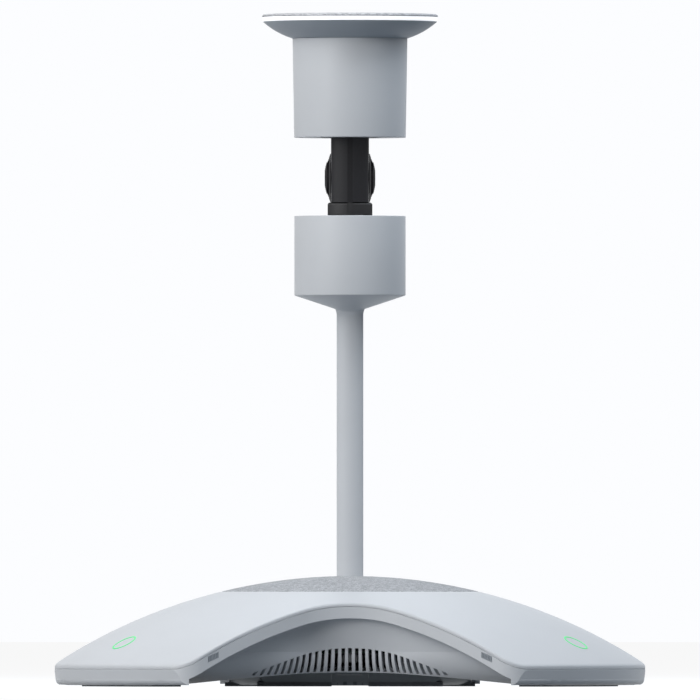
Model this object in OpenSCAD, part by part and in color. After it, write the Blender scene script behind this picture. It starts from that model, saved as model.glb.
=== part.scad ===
// Tabletop conference camera: a three-armed base with a speaker dome, an oval pole,
// and a camera head that slides down into the lower can to hide its two lenses.
// Millimetres. The origin is on the tower's axis, in the plane of the table.

/* [Base dome] */
// Radius of the sphere that the base's top follows
dome_r = 297; // [285:1:310]
// Height of the dome's top above the table
dome_top_z = 60.6; // [59:0.1:62]
// Reach of an arm's end from the tower's axis
arm_reach = 163.2; // [160:0.1:166]
// Half the width of an arm between its parallel sides
arm_half_w = 73.8; // [72:0.1:75]
// Radius of an arm's corners, seen from above
arm_corner_r = 15; // [12:0.5:18]
// Distance that the arms' end walls lean in towards the floor
arm_end_draft = 0.9; // [0.5:0.1:1.2]
// Radius of the round corner under the end walls
arm_end_round = 3.4; // [2.5:0.1:3.8]
// Radius of the hollow between two arms, seen from above
bite_r = 49; // [46:0.5:52]
// Thickness of the top cover
cover_t = 1.8; // [1.6:0.1:2.1]
// Gap of the seam between the cover and the tray
seam_gap = 0.15; // [0.1:0.05:0.3]
// Height of the lip that locates the cover inside the tray
cover_lip_h = 2.4; // [1.5:0.1:3]
// Thickness of that lip
cover_lip_t = 1.2; // [1:0.1:1.5]

/* [Base tray] */
// Wall of the base tray
tray_wall = 2.2; // [2:0.1:2.4]
// Depth of the side band, from the dome's surface to its lower edge
band_depth = 7.9; // [7.5:0.1:8.3]
// Height of the arms' undersides at their ends
arm_floor_z = 0.7; // [0.5:0.1:0.9]
// Radius of the shallow dome of the underside
under_r = 1109; // [1050:1:1200]
// Height of that dome's top
under_top_z = 10.8; // [10.6:0.1:11]
// Distances at which the underside changes its slope, from the axis out
under_steps = [30, 62, 92, 121, 150]; // [0:1:170]
// Distance that a scoop's wall stands back from the side band
scoop_set = 8; // [7.5:0.1:8.5]
// Radius of the flare at a scoop's foot
scoop_flare_r = 18; // [17.5:0.1:18.5]
// Height of the flare's lowest line
scoop_foot_z = 1; // [0.8:0.1:1.2]
// Lean of the scoop's wall above the flare, in degrees
scoop_lean = 12; // [8:1:14]
// Wall that is left at an arm's end beside a scoop
scoop_end_wall = 3; // [2.5:0.1:4]

/* [Vents] */
// Number of vent slots on each side of the middle one
vent_side_count = 14; // [10:1:14]
// Angle between two vent slots, in degrees
vent_step = 3.7; // [3.5:0.05:3.8]
// Width of a vent slot
vent_w = 2; // [1.6:0.1:2.2]
// Height of the middle slot's top
vent_top_z = 21.2; // [20:0.1:22]
// Radius of the sphere that the slots' tops follow
vent_roof_r = 240; // [220:1:260]
// Height of a slot's sill above the underside
vent_sill = 0.6; // [0.5:0.1:0.8]

/* [Hub] */
// Radius of the hub under the tray
hub_r = 71; // [70:0.5:72]
// Distance of the hub's three flat sides from the axis
hub_flat = 49.5; // [48.5:0.5:50.5]
// Height of the hub's flat underside
hub_floor_z = 0.9; // [0.8:0.1:1]
// Radius of the hub's lower edge
hub_edge_r = 7.4; // [7:0.1:7.8]
// Wall of the hub
hub_wall = 2.4; // [2.2:0.1:2.6]
// Half the width of the cable channel through the hub
channel_half_w = 10.1; // [9.5:0.1:10.5]
// Height of the cable channel's roof
channel_top_z = 6.4; // [6:0.1:6.6]
// Half the width of the connector bay
bay_half_w = 21; // [20:0.5:22]
// Length of the connector bay
bay_len = 20; // [18:0.5:21]
// Distance of the bay's port wall from the axis
bay_start = 32; // [31:0.5:33]
// Height of the bay's roof
bay_top_z = 24; // [23:0.5:25]

/* [Feet] */
// Height of the hub's rubber bars
hub_foot_h = 2.3; // [2.1:0.1:2.4]
// Depth of the hub's rubber bars
hub_foot_d = 8; // [7:0.5:9]
// Distance that the bars stand proud of the hub's flat sides
hub_foot_proud = 0.5; // [0.3:0.1:0.8]
// Distance of the arm feet from the rim of the arms
arm_foot_from_rim = 12.2; // [11:0.1:13]
// Width of the arm feet
arm_foot_w = 15.4; // [14:0.1:17]
// Half the angle that an arm foot spans, in degrees
arm_foot_half_angle = 17; // [14:0.5:18]
// Depth of the pocket that an arm foot sits in
arm_foot_pocket = 0.8; // [0.6:0.1:1]
// Half the width of the comb's middle tooth
comb_tooth_half_w = 1.7; // [1.5:0.1:1.9]
// Width of the comb's two open gaps
comb_gap_w = 2; // [1.8:0.1:2.2]
// Place of the comb's two fine slits from its middle
comb_slit_x = 6.8; // [6.4:0.1:7.2]
// Width of the comb's fine slits
comb_slit_w = 0.5; // [0.4:0.1:0.8]
// Height of the comb's gaps
comb_gap_top_z = 2.6; // [2.4:0.1:2.8]
// Height of the comb's teeth above the table
comb_tip_z = 0.6; // [0.5:0.1:0.8]
// Thickness of the comb
comb_t = 2; // [1.6:0.1:2.4]

/* [Speakers] */
// Radius of the round grille in the cover
grille_r = 70.7; // [70:0.1:71]
// Thickness of the grille
grille_t = 1.8; // [1.6:0.1:2]
// Thickness of the grille's fabric
fabric_t = 0.8; // [0.6:0.1:1]
// Width of the ledge that carries the grille
grille_ledge_w = 4; // [3.5:0.1:4.5]
// Radius of the grille's holes
grille_hole_r = 3.4; // [2.6:0.1:4]
// Pitch of the grille's holes
grille_pitch = 13; // [11:0.5:14]
// Number of rings of holes in the grille
grille_rings = 4; // [3:1:4]
// Radius of the baffle plate
baffle_r = 67; // [66:0.5:68]
// Thickness of the baffle plate
baffle_t = 2.5; // [2.2:0.1:3]
// Height of the baffle plate's underside
baffle_z = 40; // [39:0.5:41]
// Distance of each loudspeaker from the axis
speaker_place_r = 38; // [37.5:0.5:39]
// Radius of a loudspeaker's rim
speaker_r = 19.5; // [19:0.1:20]
// Thickness of a loudspeaker's rim
speaker_rim_t = 1.6; // [1.4:0.1:1.8]
// Depth of a loudspeaker's basket under the baffle's top
speaker_basket_d = 10; // [9:0.5:11]
// Radius of a loudspeaker's magnet
speaker_magnet_r = 12.5; // [12:0.1:13]
// Height of a loudspeaker's magnet
speaker_magnet_h = 7; // [6:0.5:7.5]

/* [Pole] */
// Half the width of the oval pole
pole_half_w = 7.3; // [7:0.1:7.6]
// Half the depth of the oval pole
pole_half_d = 4; // [3.8:0.1:4.2]
// Radius of the oval's narrow ends
pole_end_r = 2.4; // [2.2:0.1:2.6]
// Wall of the pole
pole_wall = 1.2; // [1.1:0.05:1.3]
// Radius of the pole's foot flange
pole_flange_r = 22.5; // [22:0.1:23]
// Thickness of the pole's foot flange
pole_flange_t = 4; // [3.5:0.1:4.5]
// Radius of the socket that holds the pole
pole_socket_r = 11; // [10.5:0.1:11.5]
// Height of that socket above the flange
pole_socket_h = 22; // [18:0.5:24]

/* [Lower can] */
// Outer radius of the lower can
can_r = 30.6; // [30:0.1:31.2]
// Wall of the lower can
can_wall = 1.6; // [1.5:0.1:1.7]
// Height of the lower can's bottom edge
can_bottom_z = 214.9; // [212:0.1:218]
// Height of the lower can's wall
can_h = 43.7; // [43.5:0.1:45]
// Slope of the cone under the can, in degrees
cone_slope = 18.4; // [18:0.1:19]
// Distance that the neck flares over the pole
neck_flare = 1; // [0.6:0.1:1.3]
// Height of the neck's flare
neck_flare_h = 5.5; // [4:0.5:7]
// Thickness of the can's top plate
plate_t = 1.7; // [1.6:0.1:1.8]
// Width of the ledge that carries the top plate
plate_ledge_w = 1.4; // [1.2:0.1:1.6]
// Radius of the opening in the top plate
opening_r = 18.3; // [18.1:0.1:18.6]
// Half the width of that opening
opening_half_w = 14.4; // [14.3:0.1:14.8]

/* [Camera column] */
// Travel of the camera head down into the can
head_travel = 43; // [42.8:0.1:43.05]
// Height of the camera column's visible part, with its collar
column_h = 43.1; // [43.1:0.05:43.4]
// Radius of the column's rounded front and back
column_r = 17.6; // [17.3:0.1:17.8]
// Half the width of the column between its flat sides
column_half_w = 10.45; // [10.3:0.05:10.6]
// Half the width of the strip down the column's middle
strip_half_w = 1.45; // [1.2:0.05:1.6]
// Depth of that strip below the column's surface
strip_recess = 0.4; // [0.3:0.05:0.5]
// Half the width of the collar
collar_half_w = 12.3; // [12:0.1:12.6]
// Height of the collar above the can
collar_h = 7.3; // [7:0.1:7.5]
// Radius of the collar's upper edge
collar_edge_r = 1.4; // [1:0.1:1.8]
// Half the reach of the stop tabs under the top plate
tab_half_w = 16.4; // [16:0.1:16.6]
// Half the depth of the stop tabs
tab_half_d = 6; // [5:0.5:7]
// Thickness of the stop tabs
tab_t = 1.3; // [1.2:0.05:1.35]

/* [Lenses] */
// Height of the lenses' axis above the can
lens_rise = 20.9; // [20.8:0.1:21.2]
// Outer radius of a lens bezel
bezel_r = 13.35; // [13:0.05:13.4]
// Thickness of the bezel at its outer edge
bezel_edge_t = 0.3; // [0.2:0.05:0.4]
// Reach of the glass beyond the column's flat side
lens_bulge = 3.5; // [3.3:0.05:3.6]
// Radius of the front glass
glass_r = 8.5; // [8.2:0.1:8.7]
// Number of steps inside the bezel
bezel_steps = 3; // [2:1:4]
// Width of one step
bezel_step_w = 0.8; // [0.7:0.05:0.9]
// Fall of one step
bezel_step_h = 0.35; // [0.25:0.05:0.4]
// Radius of a lens barrel
barrel_r = 7.4; // [7:0.1:7.6]
// Thickness of a sensor board
sensor_board_t = 1; // [0.8:0.1:1.2]

/* [Upper can] */
// Outer radius of the upper can at its bottom
head_r_low = 30.7; // [30.3:0.1:31.2]
// Outer radius of the upper can at its top
head_r_high = 31.6; // [31.4:0.1:32]
// Height of the upper can
head_h = 54.5; // [52:0.5:57]
// Wall of the upper can
head_wall = 1.8; // [1.6:0.1:2]
// Outer radius of the top disc
disc_r = 48; // [47:0.1:49]
// Height of the flare under the top disc
flare_h = 9.3; // [8.8:0.1:9.8]
// How far the flare bows out between its edges
flare_bow = 1; // [0:0.1:1.5]
// Number of cones that the bowed flare is drawn with
flare_steps = 6; // [1:1:8]
// Height of the light ring
ring_h = 2.5; // [2.3:0.1:2.7]
// Width of the light ring
ring_w = 3; // [2.5:0.1:3.5]
// Distance that the top fabric stands beyond the light ring
fabric_proud = 0.4; // [0.2:0.1:0.6]
// Height of the top fabric's edge above the light ring
top_fabric_h = 2; // [1.8:0.1:2.2]
// Radius of the rounding on the top fabric's edge
top_fabric_edge_r = 1.2; // [1:0.1:1.4]
// Thickness of the top grille plate
top_grille_t = 1.2; // [1:0.1:1.3]

/* [Controls] */
// Distance of a touch ring's middle from the rim of its arm
touch_from_rim = 20.4; // [19:0.1:22]
// Outer radius of a touch ring
touch_ring_r = 7.15; // [6.8:0.05:7.5]
// Width of a touch ring
touch_ring_w = 0.9; // [0.8:0.05:1.1]
// Depth of a touch ring in the cover
touch_ring_d = 1; // [0.9:0.05:1.1]
// Radius of a touch sensor board
touch_board_r = 9; // [8.5:0.1:9.5]
// Distance of a microphone grille's middle from the corner of its arm
mic_from_end = 16.8; // [15:0.1:19]
// Height of the middle of a microphone grille
mic_z = 16.2; // [16:0.1:16.4]
// Length of a microphone grille
mic_len = 6.6; // [6:0.1:7]
// Height of a microphone grille
mic_h = 3.2; // [3:0.1:3.4]
// Slope of a microphone grille, in degrees
mic_slope = 21; // [19:0.5:23]
// Thickness of a microphone grille
mic_t = 1.2; // [1.1:0.05:1.3]
// Number of fine slots in a microphone grille
mic_slots = 7; // [5:1:7]

/* [Screws] */
// Radius of a screw's thread
screw_r = 1.45; // [1.3:0.05:1.5]
// Radius of a screw's head
screw_head_r = 2.7; // [2.5:0.05:2.8]
// Height of a screw's head
screw_head_h = 2.2; // [2:0.1:2.3]
// Wall of a screw boss round its hole
boss_wall = 2.3; // [2.1:0.1:2.5]
// Distance of the cover's bosses from the axis, along an arm
boss_along = 108; // [106:0.5:110]
// Distance of the cover's bosses from the arm's middle line
boss_across = 44; // [42:0.5:45]
// Height at which the cover's bosses meet the tray's
boss_meet_z = 20; // [19:0.5:21]
// Distance of the hub's screws from the axis
hub_screw_r = 60; // [59.5:0.5:61]
// Angle of the hub's screws from an arm's middle line, in degrees
hub_screw_angle = 8; // [7.5:0.5:9]
// Distance of the pole's screws from the axis
pole_screw_r = 18.2; // [18:0.1:18.5]

/* [Boards] */
// Thickness of the circuit boards
board_t = 1.6; // [1.4:0.1:1.8]
// Outer radius of the main board
board_r = 58; // [57:0.5:59]
// Height of the main board's underside
board_z = 18; // [17.8:0.1:18.5]
// Side of the main board's heat sink
sink_side = 26; // [24:0.5:28]
// Height of the main board's heat sink
sink_h = 12; // [10:0.5:14]
// Number of fins on the main board's heat sink
sink_fins = 7; // [5:1:9]
// Thickness of a heat sink's base and fins
sink_t = 1.4; // [1.2:0.1:1.6]

/* [Hidden] */

// Counts of facets: large shells, middling rounds and small rounds
fine = 180;
medium = 72;
small = 32;
dome_profile_fn = 720;

// How far a corner's arc overlaps the sides that it blends into
corner_blend = 0.02;
// How far the straight parts of a hollow stand inside its round part, and how many degrees that overruns them
sweep_blend = 0.05;
sweep_overrun = 4;

// Clearances: between fixed pieces, between sliding pieces, and the overrun of every cut
fit_gap = 0.1;
slide_gap = 0.12;
cut = 1;

// Directions of the arms and of the hollows between them
arm_turns = [210, 330, 90];
bite_turns = [270, 30, 150];
flank_angle = 30;

// Colours
paint = "#cfd3d7";
dark_plastic = "#3a4046";
rubber = "#2e3236";
cloth = "#a5a9ac";
camera_black = "#2c2c2e";
board_green = "#2f5d4a";
steel = "#b4b8bc";
aluminium = "#c4c8cb";
white_light = "#f4f6f8";
green_light = "#4fd07c";
black_paper = "#1d1e20";

// The dome's and the underside's centres
dome_centre_z = dome_top_z - dome_r;
base_reach = arm_reach + band_depth;

// A hollow's fillet has its centre on the hollow's middle line, tangent to both arms' sides
bite_c = (arm_half_w + bite_r) / cos(flank_angle);
// What sits near the end of an arm is placed from that end
touch_place_r = arm_reach - touch_from_rim;
arm_foot_r_out = arm_reach - arm_foot_from_rim;
arm_foot_r_in = arm_foot_r_out - arm_foot_w;
mic_along = sqrt(pow(arm_reach, 2) - pow(arm_half_w, 2)) - bite_c * sin(flank_angle) - mic_from_end;
// The corner's centre, in the frame of an arm
corner_c = [
    sqrt(pow(arm_reach - arm_corner_r, 2) - pow(arm_half_w - arm_corner_r, 2)),
    arm_half_w - arm_corner_r
];
scoop_wall_r = bite_r + scoop_set;
scoop_flare_z = scoop_foot_z + scoop_flare_r;
vent_roof_centre_z = vent_top_z - sqrt(pow(vent_roof_r, 2) - pow(bite_c - scoop_wall_r, 2));
vent_in_r = scoop_wall_r - tray_wall;
vent_lip_r = scoop_wall_r + 2 * tray_wall;
vent_out_r = scoop_wall_r + scoop_flare_r + 2 * tray_wall;

// The oval pole: two wide arcs and two narrow end arcs that are tangent to them
pole_end_c = pole_half_w - pole_end_r;
pole_arc_c = (pow(pole_end_c, 2) - pow(pole_half_d - pole_end_r, 2)) / (2 * (pole_half_d - pole_end_r));
pole_arc_r = pole_half_d + pole_arc_c;
pole_tangent_share = pole_end_c / (pole_arc_r - pole_end_r);

// Heights in the base
bay_end = bay_start + bay_len;
floor_top_z = under_top_z + tray_wall;
pad_top_z = floor_top_z + fit_gap;
flange_top_z = pad_top_z + fit_gap + pole_flange_t;
pole_bottom_z = flange_top_z - pole_flange_t / 2;
socket_top_z = flange_top_z + pole_socket_h;
grille_seat_d = fabric_t + grille_t + fit_gap;
boss_r = screw_r + fit_gap + boss_wall;
boss_bore_r = screw_r + fit_gap / 2;
boss_clear_r = screw_r + 2 * fit_gap;
head_clear_r = screw_head_r + 3 * fit_gap;
cover_screw_seat_z = boss_meet_z - 2 * boss_wall;
cover_screw_len = 5 * boss_wall;
post_r = baffle_r - boss_r;
speaker_hole_r = speaker_r - 2 * speaker_rim_t;
speaker_top_z = baffle_z + baffle_t;

// Heights and radii in the tower
can_top_z = can_bottom_z + can_h;
cone_tip_z = can_bottom_z - can_r * tan(cone_slope);
cone_wall_z = can_wall / cos(cone_slope);
bush_r = pole_half_w + 4 * can_wall / 2;
can_floor_z = cone_tip_z + (bush_r - can_wall) * tan(cone_slope) + cone_wall_z;
plate_bottom_z = can_top_z - plate_t;
tab_top_z = plate_bottom_z - slide_gap;
tab_bottom_z = tab_top_z - tab_t;
bush_top_z = tab_bottom_z - head_travel - 2 * slide_gap;
bush_spigot_len = 18;
blade_half_w = pole_half_w - pole_wall - 1.5 * pole_wall + slide_gap;
blade_half_d = (pole_half_d - pole_wall) / 2 - slide_gap;
blade_engaged = 40;
blade_bottom_z = can_floor_z - blade_engaged;
collar_top_z = can_top_z + collar_h;
head_bottom_z = can_top_z + column_h;
lens_z = can_top_z + lens_rise;
head_floor_top_z = head_bottom_z + head_wall;
head_top_z = head_bottom_z + head_h;
flare_top_z = head_top_z + flare_h;
ring_top_z = flare_top_z + ring_h;
fabric_top_z = ring_top_z + top_fabric_h;
flare_slope = (disc_r - head_r_high) / flare_h;
frame_flange_r = head_r_low - 4 * head_wall;
frame_flange_t = 2.5;
frame_flange_z = head_floor_top_z + fit_gap;
frame_flange_top_z = frame_flange_z + frame_flange_t;
chassis_z = frame_flange_top_z + fit_gap;
chassis_t = 2;
pillar_h = 12;
pillar_r = 2.6;
pillar_place_r = 19;
head_board_r = head_r_low - 2 * head_wall - fit_gap;
head_board_z = chassis_z + chassis_t + pillar_h;
head_sink_z = head_board_z + board_t + 2 * fit_gap;
skirt_h = 5;
mic_array_z = flare_top_z - 2 * board_t;
mic_array_r = head_r_high + (mic_array_z - head_top_z) * flare_slope - 2 * head_wall;

// Places of the parts of a lens along its own axis, out from the column's middle
dome_glass_r = (pow(bezel_r, 2) + pow(lens_bulge, 2)) / (2 * lens_bulge);
dome_glass_c = column_half_w + lens_bulge - dome_glass_r;
glass_back = column_half_w - 4 * slide_gap;
barrel_back = strip_half_w + fit_gap + sensor_board_t + fit_gap;
barrel_front = glass_back - fit_gap;
sensor_half = [barrel_r + 2 * sensor_board_t, barrel_r + 4 * sensor_board_t];

// Turns its children to each arm, or to each hollow with its own axis at the origin and +X to the hub
module at_arms() {
    for (turn = arm_turns) rotate(turn) children();
}
module at_bites() {
    for (turn = bite_turns) in_bite(turn) children();
}
module in_bite(turn) {
    rotate(turn) translate([bite_c, 0]) rotate(180) children();
}
module both_sides() {
    for (side = [0, 1]) mirror([0, side, 0]) children();
}

// The space of a hollow in plan, grown by an inset
module bite_plan(inset) {
    circle(r = bite_r + inset, $fn = fine);
    both_sides() rotate(flank_angle) translate([-arm_reach, 0])
        square([arm_reach + bite_r + inset - sweep_blend, 2 * arm_reach]);
}

// What an arm's round corner leaves outside, in the frame of the arm
module corner_cut(inset) {
    reach = 2 * arm_corner_r;
    out = corner_c / norm(corner_c);
    difference() {
        polygon([
            corner_c,
            corner_c + [0, reach],
            corner_c + [reach, reach],
            corner_c + out * reach
        ]);
        translate(corner_c) circle(r = arm_corner_r + corner_blend - inset, $fn = medium);
    }
}

// The base seen from above, drawn in by an inset
module base_plan(inset) {
    difference() {
        circle(r = arm_reach - inset, $fn = fine);
        at_bites() bite_plan(inset);
        at_arms() both_sides() corner_cut(inset);
    }
}
module base_prism(inset, low, high) {
    translate([0, 0, low]) linear_extrude(height = high - low) base_plan(inset);
}

// A solid cap under a sphere about the tower's axis, down to a low height and out to a reach
module cap(sphere_r, centre_z, low, reach) {
    rotate_extrude($fn = fine) intersection() {
        translate([0, centre_z]) circle(r = sphere_r, $fn = dome_profile_fn);
        translate([0, low]) square([reach, centre_z + 2 * sphere_r - low]);
    }
}
module dome(depth, low = -cut, reach = base_reach) {
    cap(dome_r - depth, dome_centre_z, low, reach);
}
// The solid under the shallow dome, which is drawn as a few cones, raised by an amount
module under_dome(rise) {
    rotate_extrude($fn = fine) polygon(concat(
        [[0, -dome_top_z], [0, under_line_z(0) + rise]],
        [for (r = under_steps) [r, under_line_z(r) + rise]],
        [[base_reach, under_line_z(base_reach) + rise], [base_reach, -dome_top_z]]
    ));
}
function under_line_z(r) = under_top_z - r * r / (2 * under_r);

// Half of the section of the space in front of a scoop, out from the hollow's axis
module scoop_section(inset) {
    lean = (dome_top_z - scoop_flare_z) * tan(scoop_lean);
    flare_c = scoop_wall_r + scoop_flare_r;
    polygon([
        [0, scoop_flare_z],
        [scoop_wall_r + inset, scoop_flare_z],
        [scoop_wall_r + inset - lean, dome_top_z],
        [0, dome_top_z]
    ]);
    difference() {
        translate([0, -dome_top_z]) square([flare_c, dome_top_z + scoop_flare_z]);
        translate([flare_c, scoop_flare_z]) circle(r = scoop_flare_r - inset, $fn = fine);
    }
}

// The space in front of a scoop: round the hollow's axis, then straight on along both arms
module scoop_sweep(inset) {
    turn = flank_angle + sweep_overrun;
    rotate([0, 0, -turn]) rotate_extrude(angle = 2 * turn, $fn = fine) scoop_section(inset);
    both_sides() rotate([0, 0, -flank_angle]) rotate([90, 0, 0])
        linear_extrude(height = arm_reach) scoop_section(inset - sweep_blend);
}
module scoops(inset) {
    intersection() {
        at_bites() scoop_sweep(inset);
        dome(band_depth - inset, -2 * dome_top_z, arm_reach - scoop_end_wall + inset);
    }
}

// Height of the underside at a distance from the axis, and how far a slot's sill is from it
function under_z(r) = lookup(r, concat(
    [[0, under_line_z(0)]],
    [for (step = under_steps) [step, under_line_z(step)]],
    [[base_reach, under_line_z(base_reach)]]
));
function lip_distance(turn) =
    sqrt(pow(bite_c - vent_lip_r * cos(turn), 2) + pow(vent_lip_r * sin(turn), 2));

// One vent slot: upright, with a sill that rises inwards
module vent_slot(turn) {
    sill_z = under_z(lip_distance(turn)) + vent_sill;
    rotate([0, 0, turn]) translate([0, vent_w / 2, 0]) rotate([90, 0, 0])
        linear_extrude(height = vent_w) polygon([
            [vent_in_r, sill_z],
            [vent_lip_r, sill_z],
            [vent_out_r, sill_z + tray_wall],
            [vent_out_r, dome_top_z],
            [vent_in_r, dome_top_z]
        ]);
}
module vents() {
    intersection() {
        at_bites() for (i = [-vent_side_count:vent_side_count]) vent_slot(i * vent_step);
        cap(vent_roof_r, vent_roof_centre_z, 0, arm_reach);
    }
}

// A frame on the dome's surface above a place on an arm, with +Z out of the surface
module on_dome(place_r) {
    translate([0, 0, dome_centre_z]) rotate([0, asin(place_r / dome_r), 0])
        translate([0, 0, dome_r]) children();
}

// Each arm's side face as a frame: +X into the tray, +Y out along the arm
module at_flanks() {
    at_bites() both_sides() rotate(flank_angle) translate([bite_r, mic_along, mic_z])
        children();
}
// A slanted plate in that frame, from one depth to another
module slanted_plate(half_len, half_h, near, far) {
    fall = half_len * tan(mic_slope);
    translate([near, 0, 0]) rotate([90, 0, 90]) linear_extrude(height = far - near) polygon([
        [-half_len, fall - half_h],
        [half_len, -fall - half_h],
        [half_len, half_h - fall],
        [-half_len, half_h + fall]
    ]);
}

// Places of the screws
module at_cover_bosses() {
    at_arms() both_sides() translate([boss_along, boss_across, 0]) children();
}
module at_hub_screws() {
    at_arms() both_sides() rotate(hub_screw_angle) translate([hub_screw_r, 0, 0]) children();
}
module at_posts() {
    at_arms() translate([post_r, 0, 0]) children();
}
module at_pole_screws() {
    for (turn = [flank_angle, -flank_angle, 180 - flank_angle, 180 + flank_angle])
        rotate(turn) translate([pole_screw_r, 0, 0]) children();
}
module at_board_posts() {
    for (turn = bite_turns, side = [-1, 1]) rotate(turn + side * flank_angle / 1.5)
        translate([board_r - boss_r, 0, 0]) children();
}
module screw(seat_z, length) {
    translate([0, 0, seat_z]) cylinder(r = screw_r, h = length, $fn = small);
    translate([0, 0, seat_z - screw_head_h]) difference() {
        cylinder(r = screw_head_r, h = screw_head_h, $fn = small);
        translate([0, 0, -cut]) cylinder(r = screw_r, h = cut + screw_head_h / 2, $fn = 6);
    }
}
module screw_down(seat_z, length) {
    translate([0, 0, seat_z]) rotate([180, 0, 0]) screw(0, length);
}

// The annular sector of an arm foot
module arm_foot_plan(grow) {
    half = arm_foot_half_angle + asin(grow / arm_foot_r_out);
    reach = 2 * arm_foot_r_out;
    intersection() {
        difference() {
            circle(r = arm_foot_r_out + grow, $fn = fine);
            circle(r = arm_foot_r_in - grow, $fn = fine);
        }
        polygon([[0, 0], [reach * cos(half), -reach * sin(half)], [reach * cos(half), reach * sin(half)]]);
    }
}

// Base tray: side bands, arms' undersides and the three vented scoops in one moulding
module base_tray() {
    color(paint) difference() {
        union() {
            tray_shell();
            tray_bay();
            tray_bosses();
        }
        under_dome(0);
        scoops(0);
        vents();
        tray_openings();
    }
}
module tray_shell() {
    difference() {
        intersection() {
            base_prism(0, arm_floor_z, dome_top_z);
            dome(cover_t + seam_gap);
            arm_end_form();
        }
        difference() {
            base_prism(tray_wall, arm_floor_z + tray_wall, dome_top_z + cut);
            under_dome(tray_wall);
            scoops(tray_wall);
        }
    }
}
module tray_bay() {
    translate([-bay_half_w - tray_wall, bay_start - tray_wall, arm_floor_z])
        cube([2 * (bay_half_w + tray_wall), bay_len + 2 * tray_wall, bay_top_z + tray_wall - arm_floor_z]);
}
// The arms' end walls lean in towards the floor and turn under it in a round corner
module arm_end_form() {
    turn_r = arm_reach - arm_end_draft - arm_end_round;
    rotate_extrude($fn = fine) {
        polygon([
            [0, -dome_top_z],
            [turn_r, -dome_top_z],
            [turn_r, arm_floor_z + arm_end_round],
            [arm_reach - arm_end_draft, arm_floor_z + arm_end_round],
            [arm_reach + corner_blend, arm_floor_z + 2.5 * arm_end_round],
            [arm_reach + band_depth, arm_floor_z + 2.5 * arm_end_round],
            [arm_reach + band_depth, 2 * dome_top_z],
            [0, 2 * dome_top_z]
        ]);
        translate([turn_r, arm_floor_z + arm_end_round - sweep_blend]) circle(r = arm_end_round, $fn = medium);
    }
}
module tray_bosses() {
    at_cover_bosses() translate([0, 0, arm_floor_z])
        cylinder(r = head_clear_r + tray_wall, h = boss_meet_z - arm_floor_z, $fn = small);
    at_posts() translate([0, 0, arm_floor_z]) cylinder(r = boss_r, h = baffle_z - arm_floor_z, $fn = small);
    at_hub_screws() translate([0, 0, arm_floor_z])
        cylinder(r = boss_r, h = board_z - boss_wall - arm_floor_z, $fn = small);
    at_board_posts() translate([0, 0, arm_floor_z]) cylinder(r = boss_r, h = board_z - arm_floor_z, $fn = small);
    translate([0, 0, arm_floor_z])
        cylinder(r = pole_flange_r + boss_wall, h = pad_top_z - arm_floor_z, $fn = medium);
}
module tray_openings() {
    // The connector bay and its windows to the ports
    translate([-bay_half_w, bay_start, -cut]) cube([2 * bay_half_w, bay_len, bay_top_z + cut]);
    port_shapes(fit_gap, bay_start - tray_wall - cut, bay_start + cut);
    // Screws
    at_cover_bosses() {
        translate([0, 0, -cut]) cylinder(r = boss_clear_r, h = dome_top_z, $fn = small);
        translate([0, 0, -cut]) cylinder(r = head_clear_r, h = cover_screw_seat_z + cut, $fn = small);
    }
    at_hub_screws() translate([0, 0, -cut])
        cylinder(r = boss_bore_r, h = board_z - 2 * boss_wall + cut, $fn = small);
    at_posts() translate([0, 0, baffle_z - 4 * boss_wall])
        cylinder(r = boss_bore_r, h = 5 * boss_wall, $fn = small);
    at_pole_screws() translate([0, 0, -cut]) cylinder(r = boss_clear_r, h = dome_top_z, $fn = small);
    // Pockets of the arm feet
    at_arms() intersection() {
        translate([0, 0, -cut]) linear_extrude(height = floor_top_z) arm_foot_plan(fit_gap);
        under_dome(arm_foot_pocket + fit_gap);
    }
    // Seats and sound holes of the microphone grilles
    at_flanks() slanted_plate(mic_len / 2 + fit_gap, mic_h / 2 + fit_gap, -cut, mic_t + fit_gap);
    at_flanks() rotate([0, 90, 0]) cylinder(r = mic_h / 4, h = 2 * tray_wall, $fn = small);
}

// Top cover: the dome's shell with its grille ledge, locating lip and bosses
module top_cover() {
    lip_out = tray_wall + fit_gap;
    color(paint) difference() {
        union() {
            difference() {
                intersection() {
                    base_prism(0, 0, dome_top_z + cut);
                    dome(0);
                }
                dome(cover_t, -2 * cut);
            }
            difference() {
                intersection() {
                    base_prism(lip_out, 0, dome_top_z);
                    dome(cover_t / 2);
                }
                base_prism(lip_out + cover_lip_t, -cut, dome_top_z + cut);
                dome(cover_t + cover_lip_h, -2 * cut);
                // The lip is left out behind the microphones
                at_flanks() slanted_plate(mic_len / 2 + 2 * fit_gap, mic_h + cover_lip_h, tray_wall, lip_out + 2 * cover_lip_t);
            }
            difference() {
                dome(cover_t / 2, -cut, grille_r + fit_gap + cover_t);
                dome(grille_seat_d + cover_t, -2 * cut);
            }
            intersection() {
                at_cover_bosses() translate([0, 0, boss_meet_z + fit_gap])
                    cylinder(r = boss_r, h = dome_top_z, $fn = small);
                dome(cover_t / 2);
            }
        }
        translate([0, 0, -cut])
            cylinder(r = grille_r + fit_gap - grille_ledge_w, h = 2 * dome_top_z, $fn = fine);
        difference() {
            cylinder(r = grille_r + fit_gap, h = 2 * dome_top_z, $fn = fine);
            dome(grille_seat_d, -2 * cut);
        }
        at_cover_bosses() cylinder(r = boss_bore_r, h = cover_screw_seat_z + cover_screw_len + cut, $fn = small);
        at_arms() on_dome(touch_place_r) touch_tube(fit_gap / 2, cut);
    }
}
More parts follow.
